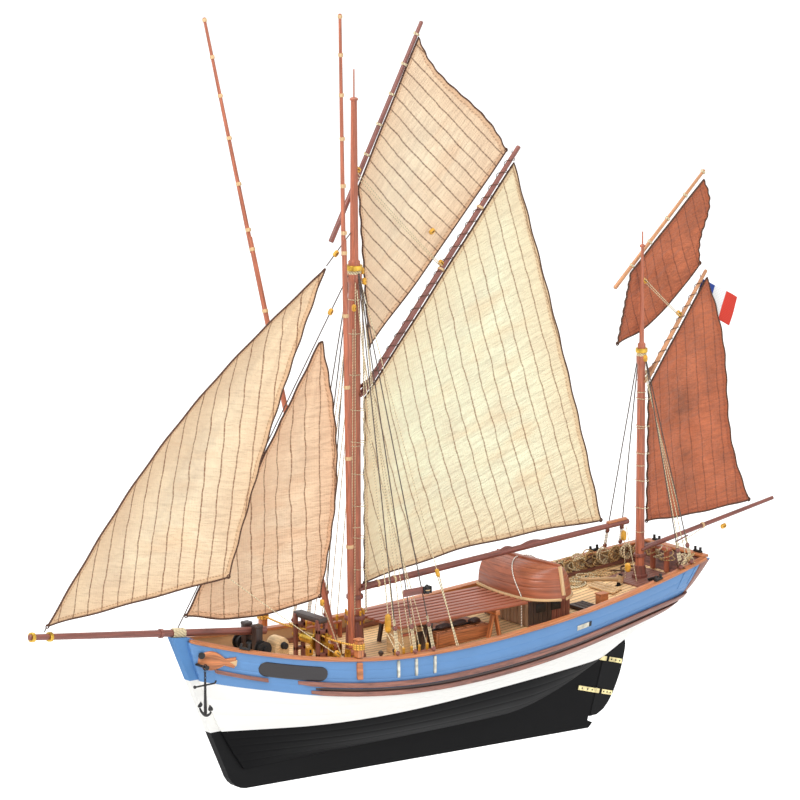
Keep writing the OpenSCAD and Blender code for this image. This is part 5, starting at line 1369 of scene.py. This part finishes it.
class SHIP_OT_rigging(ShipOperator, bpy.types.Operator):
    """Shrouds with deadeyes and lanyards, stays, sheets, halyards and blocks"""

    bl_idname = "ship.rigging"
    bl_label = "Rigging"

    def execute(self, context):
        thick, thin = context.scene.ship_sizes.shroud / MM, context.scene.ship_sizes.line / MM
        tarred, turned, cream = [], [], []
        # Mast, height and reach of its hounds, its chainplates, and how far up the shrouds from the rail the
        # upper deadeyes and, from those, the spreader bar lie
        for mast_x, hounds, reach, xs, tall, above in ((0, 280.6, 3.8, (-7, 4.6, 17), 15, 11),
                                                       (MIZZEN_X, 207.6, 2.8, (210, 220), 11, 5)):
            for side in SIDES:
                tied = []
                for x in xs:
                    foot = np.array([x, side * (rail_y(x) - 0.6), rail_z(x) + 2.0])
                    head = np.array([mast_x + (x - mast_x) * 0.02, side * reach, hounds])
                    way = unit(head - foot)
                    lower, upper = foot + way * 1.4, foot + way * tall
                    out = np.cross(way, (1, 0, 0))
                    turned += [deadeye(lower, out, 1.35), deadeye(upper, out, 1.35)]
                    tarred.append(rope(line(upper + way * 1.2, head, 4), thick, 8))
                    tarred.append(ring(upper, out, 1.4, 0.22, count=18, turns=True))
                    cream += [rope(line(lower + [k, 0, 0], upper + [k, 0, 0], 4), 0.24)
                              for k in (-0.8, 0, 0.8)]
                    cream.append(helix(upper + way * 1.6, upper + way * 5, thick + 0.15, 0.2, 0.6))
                    tied.append(upper + way * above + out * 0.7)
                # The main shrouds have a spreader bar to port only
                if side < 0 or mast_x:
                    end = tied[-1] + unit(tied[-1] - tied[0]) * 3
                    turned.append(sweep(line(tied[0], end, 4), 0.45, sides=8, chamfer=0.1))
            cream.append(helix((mast_x, 0, hounds - 3), (mast_x, 0, hounds + 2), reach - 0.1, 0.32, 0.66))
        tarred += [rope(line(p, q, 12), thick, 8) for p, q in (
            ((-121.4, 0, 99.8), (-4.2, 0, 279.5)), ((-209.5, 0, 111.4), (-208.3, 0, 113.6)),
            ((-19.2, 0, 286.6), (-2.4, 0, 303)))]
        make("shroud_cords", tarred, "tarred cord",
             replaces=["main_shrouds", "mizzen_shrouds", "stays"])
        make("deadeyes", turned, "dark walnut")
        make("lanyards", cream, "cream cord")
        runs = []

        def run(p, q, drop=0.0, radius=thin):
            """A line from p to q with a slight hang."""
            runs.append(rope(sagged(p, q, drop), radius))

        for side in SIDES:
            run((201.5, 5 * side, deck_z(202) + 0.6), (196.5, side, 109.2))
            run((61, 1.2 * side, 277), (1, 2.2 * side, 336), 0.8)
            run((236, side, 227), (208.5, 1.6 * side, 252), 0.3)
        run((256, 0, 99), (236, 0, 91.4))
        jib_lead = np.array([-40, -36, rail_z(-40)])
        run((-89.3, -5.2, 122.6), jib_lead + [0, 0, 2.4], 0.6)
        run((-24.5, -1, 100.9), (-21, -18, deck_z(-21) + 1))
        run((6.4, 0, 216), (5.2, 0, 279))
        # Falls of the halyards, down the mast to its belaying collar and the pin rails
        for x, y, at in ((-2.5, -4.2, 276), (2.5, -4.4, 270), (3.6, -3.2, 262), (-3.2, -3, 250)):
            run((x, y, at), (x * 1.5, y * 1.15, 89.4))
        pin_y = rail_y(8) - PIN_RAIL_IN
        for x, at in zip(PIN_X, (272, 268, 240, 236, 200)):
            for side in SIDES:
                run((2.5, 4 * side, at), (x, pin_y * side, 75.3))
        for i, at in enumerate((205, 200, 196)):
            run((MIZZEN_X, -3.2, at), (214 + 4 * i, 3 - rail_y(214), rail_z(214) + 1.9))
        # Port runner: from the hounds to a tackle on the rail
        foot, head = np.array([33.5, 1.4 - rail_y(33.5), rail_z(33.5) + 1.9]), np.array([0.6, -3.9, 279])
        joint = mixed(foot, head, 0.2)
        run(joint, head)
        run(foot, joint + [0.7, 0, 0], radius=0.3)
        run(foot + [1.2, 0, 0], joint + [-0.7, 0, 0], radius=0.3)
        make("running_lines", runs, "cream cord", replaces=["sheets"])
        # Halyard tackle abreast of the mast: a long block with its fall and two parts to the pin rail
        tackle = [rope(line((-0.3, -30, 94), (-1.6, -4.4, 272), 4), 0.3)]
        tackle += [rope(line((-0.3 + k, -30, 83.5), (x, -pin_y, 76.3), 4), 0.3)
                   for x, k in zip(PIN_X, (-0.9, 0.9))]
        # Winch ropes to both rail posts, three turns round each post
        for side in SIDES:
            post = np.array([WINCH_X, side * (rail_y(WINCH_X) - 1), rail_z(-34) + 8])
            slack = sagged((WINCH_X, 4.5 * side, 83.6), post - [0, 2.6 * side, 0], 1.2)
            tackle.append(rope(slack, 0.55, 8, finish=1))
            tackle += [ring(post + [0, 0, z], (0, 0, 1), 2.9, 0.5, turns=True, finish=1)
                       for z in (-1.1, 0, 1.1)]
        tackle.append(helix((-125.5, 0, 97.43), (-117.5, 0, 96.35), 2.5, 0.32, 0.75))
        # Hanks hung inside the starboard quarter and round the after deck
        hanks = ((168, 36.6, 80.4, 4.2, 2), (176, 36, 81, 4.6, 0), (183, 35.2, 81.6, 4.4, 2),
                 (190, 34.6, 82.4, 4.6, 0), (198, 33.4, 83.6, 4.8, 2), (206, 31.6, 84.6, 4.6, 0),
                 (213, 28.6, 85.4, 4.2, 2), (219, 25.6, 86.2, 4.2, 0), (226, 22, 86.6, 4, 2),
                 (231, 17, 87.2, 3.6, 2), (230, 8, 87, 3.4, 0), (228, -20, 86.4, 3.4, 0))
        for x, y, z, r, finish in hanks:
            for k in range(4):
                tilt = (0.3 * math.sin(2.1 * k + x), 1, 0.35 * math.cos(1.7 * k + x))
                middle = (x + 0.7 * math.sin(3 * k), y - 0.45 * k * math.copysign(1, y), z - 0.35 * k)
                tackle.append(ring(middle, tilt, r - 0.22 * k, 0.36, count=36, turns=True, finish=finish))
        # Loose loops: closed curves of two, three and one sine waves along x, y and z, each by its middle and
        # half sizes; none sinks below the deck
        loops = [((x, rail_y(x) - 4.8, rail_z(x) - 2.6), (5, 0.9, 3.8)) for x in 166 + 5.4 * np.arange(11)]
        loops += [((x, y, deck_z(x) + 1.4), (7, 5, 0.7))
                  for x, y in ((180, 21), (189, 25), (199, 22), (211, 16))]
        loops += [((223.2, y, 89.6), (3.4, 3, 3.6)) for y in (-7, -1, 5)]
        loops += [((x, 1.6 - rail_y(x), rail_z(x) + 4.6), (2.6, 1.2, 2.8)) for x in (210.6, 220.6)]
        loops += [((231, y, 86.2), (0.9, 3.6, 2.8)) for y in (-13, 13)]
        turn = np.arange(72)[:, None] / 72 * 2 * np.pi
        for k, (middle, half) in enumerate(loops):
            wave = np.hstack([np.sin(2 * turn + k), np.sin(3 * turn + 2 * k), np.sin(turn + 0.7 * k)])
            loop = vec(middle) + vec(half) * wave
            loop[:, 2] = np.maximum(loop[:, 2], deck_z(loop[:, 0]) + 0.6)
            tackle.append(rope(loop, 0.34, ref=(0.1, 0.2, 1), loop=True, finish=(0, 2, 3, 2)[k % 4]))
        make("belayed_hanks", tackle, ["cream cord", "yellow cord", "tan cord", "brown cord"])
        # Side-light board on the port shrouds with its lamp
        lamp = [(0, 0), (1.5, 0), (1.6, 0.4), (1.5, 3.8), (1.1, 4.4), (0.5, 5), (0, 5.1)]
        board = [box((-0.6, -44.2, 106.3), (13.4, -43.2, 110.4), 0.4),
                 box((13, -45.6, 106.2), (13.8, -43.2, 110.4), 0.3, 1),
                 lathe(lamp, (15.6, -44.4, 106.2), sides=16, finish=1),
                 ring((15.6, -44.4, 108.2), (0, 0, 1), 1.55, 0.3, finish=2),
                 box((17.4, -45.6, 106.2), (18.4, -43.2, 110.2), 0.3, 1)]
        make("side_light", board, ["dark walnut", "blackened iron", "oiled lime"])
        upright = (0, 0, 1)
        blocks = [pulley((-0.3, -30, 88.8), upright, 11.6, 2.1, 1.6),
                  pulley((195.6, 0, 103.4), upright, 6.4, 1.9, 1.5),
                  pulley((199, 0, 84), upright, 5.6, 1.9, 1.5), pulley(joint, joint - foot, 5, 1.4, 1.1)]
        for at, way in (((-12.6, 0, 292.6), (1, 0, 0.9)), ((57, 3, 296.4), (1, 0, 0.6)),
                        ((-24, -1.5, 98.6), upright), ((-3.6, -4.4, 262), upright),
                        ((3.6, -4.4, 276), upright), ((5.6, 0, 281), upright),
                        ((61, 0, 278.6), (-0.6, 0, 0.7)), ((2.6, 0, 337.5), (1, 0, -0.6)),
                        ((272, 0, 97.6), (1, 0, 0.2)),
                        ((236, 0, 228), (-0.7, 0, 0.6)), ((209.6, 0, 250.4), (1, 0, -0.6)),
                        ((-16.4, 0, 260.8), (0.65, 0, 1)), ((MIZZEN_X, -3.4, 206), upright),
                        (jib_lead + [0, 0, 3.2], (-1, 0.5, 1))):
            blocks += [pulley(at, way), ring(at, np.cross(way, (0, 1, 0)), 1.35, 0.25, count=14, finish=1)]
        make("blocks", blocks, ["boxwood yellow", "brown cord"])
        return {"FINISHED"}


class SHIP_OT_rudder(ShipOperator, bpy.types.Operator):
    """Rudder, straps, gudgeons and tiller"""

    bl_idname = "ship.rudder"
    bl_label = "Rudder"

    def execute(self, context):
        # The rudder's lighter black is painted light against the shade it lies in
        dress("rudder enamel", "rudder")
        dress("pale brass", "rudder_straps", "gudgeons")
        dress("raw plywood", "tiller")
        # Bolt heads along the straps, which lean with the stock: up is along it and aft is square to it
        lean = math.radians(16.5)
        up = np.array([math.sin(lean), 0, math.cos(lean)])
        aft = np.array([math.cos(lean), 0, -math.sin(lean)])
        head = [(0, -0.1), (0.5, -0.1), (0.5, 0.08), (0, 0.12)]
        for body, out, rows in (("rudder", 2.0, ((34, (6, 9.2, 12.4)), (15, (5.6, 8.2, 10.8)))),
                                ("ship", 3.1, ((34, (-4,)), (15, (-4.4, -8, -12.2))))):
            bolts = [lathe(head, (169.8, side * out, 0) + up * (at + 1.3) + aft * way, (0, side, 0), 12)
                     for side in SIDES for at, ways in rows for way in ways]
            make(f"{body}_strap_bolts", bolts, "blackened iron", body)
        return {"FINISHED"}


class SHIP_PT_panel(bpy.types.Panel):
    """Lists the ship's builders, colours and sizes"""

    bl_label = "Model sailing ship"
    bl_idname = "SHIP_PT_panel"
    bl_space_type = "VIEW_3D"
    bl_region_type = "UI"
    bl_category = "Ship"

    def draw(self, context):
        for builder in BUILDERS:
            self.layout.operator(builder.bl_idname)
        for group in (context.scene.ship_colours, context.scene.ship_sizes):
            for key in group.__annotations__:
                self.layout.prop(group, key)


BUILDERS = (SHIP_OT_stage, SHIP_OT_coil, SHIP_OT_hull, SHIP_OT_trim, SHIP_OT_bow, SHIP_OT_deck, SHIP_OT_boat,
            SHIP_OT_spars, SHIP_OT_sails, SHIP_OT_rigging, SHIP_OT_rudder)
CLASSES = (ShipColours, ShipSizes, *BUILDERS, SHIP_PT_panel)


def register():
    """Registers the classes and puts their values on the scene."""
    for item in CLASSES:
        bpy.utils.register_class(item)
    bpy.types.Scene.ship_colours = bpy.props.PointerProperty(type=ShipColours)
    bpy.types.Scene.ship_sizes = bpy.props.PointerProperty(type=ShipSizes)


def unregister():
    """Takes the values and classes away again."""
    del bpy.types.Scene.ship_colours
    del bpy.types.Scene.ship_sizes
    for item in reversed(CLASSES):
        bpy.utils.unregister_class(item)


def main():
    """Builds the whole ship."""
    register()
    make_finishes()
    bpy.ops.ship.stage()
    bpy.ops.ship.coil()
    bpy.ops.ship.hull()
    bpy.ops.ship.trim()
    bpy.ops.ship.bow()
    bpy.ops.ship.deck()
    bpy.ops.ship.boat()
    bpy.ops.ship.spars()
    bpy.ops.ship.sails()
    bpy.ops.ship.rigging()
    bpy.ops.ship.rudder()


if __name__ == "__main__":
    main()
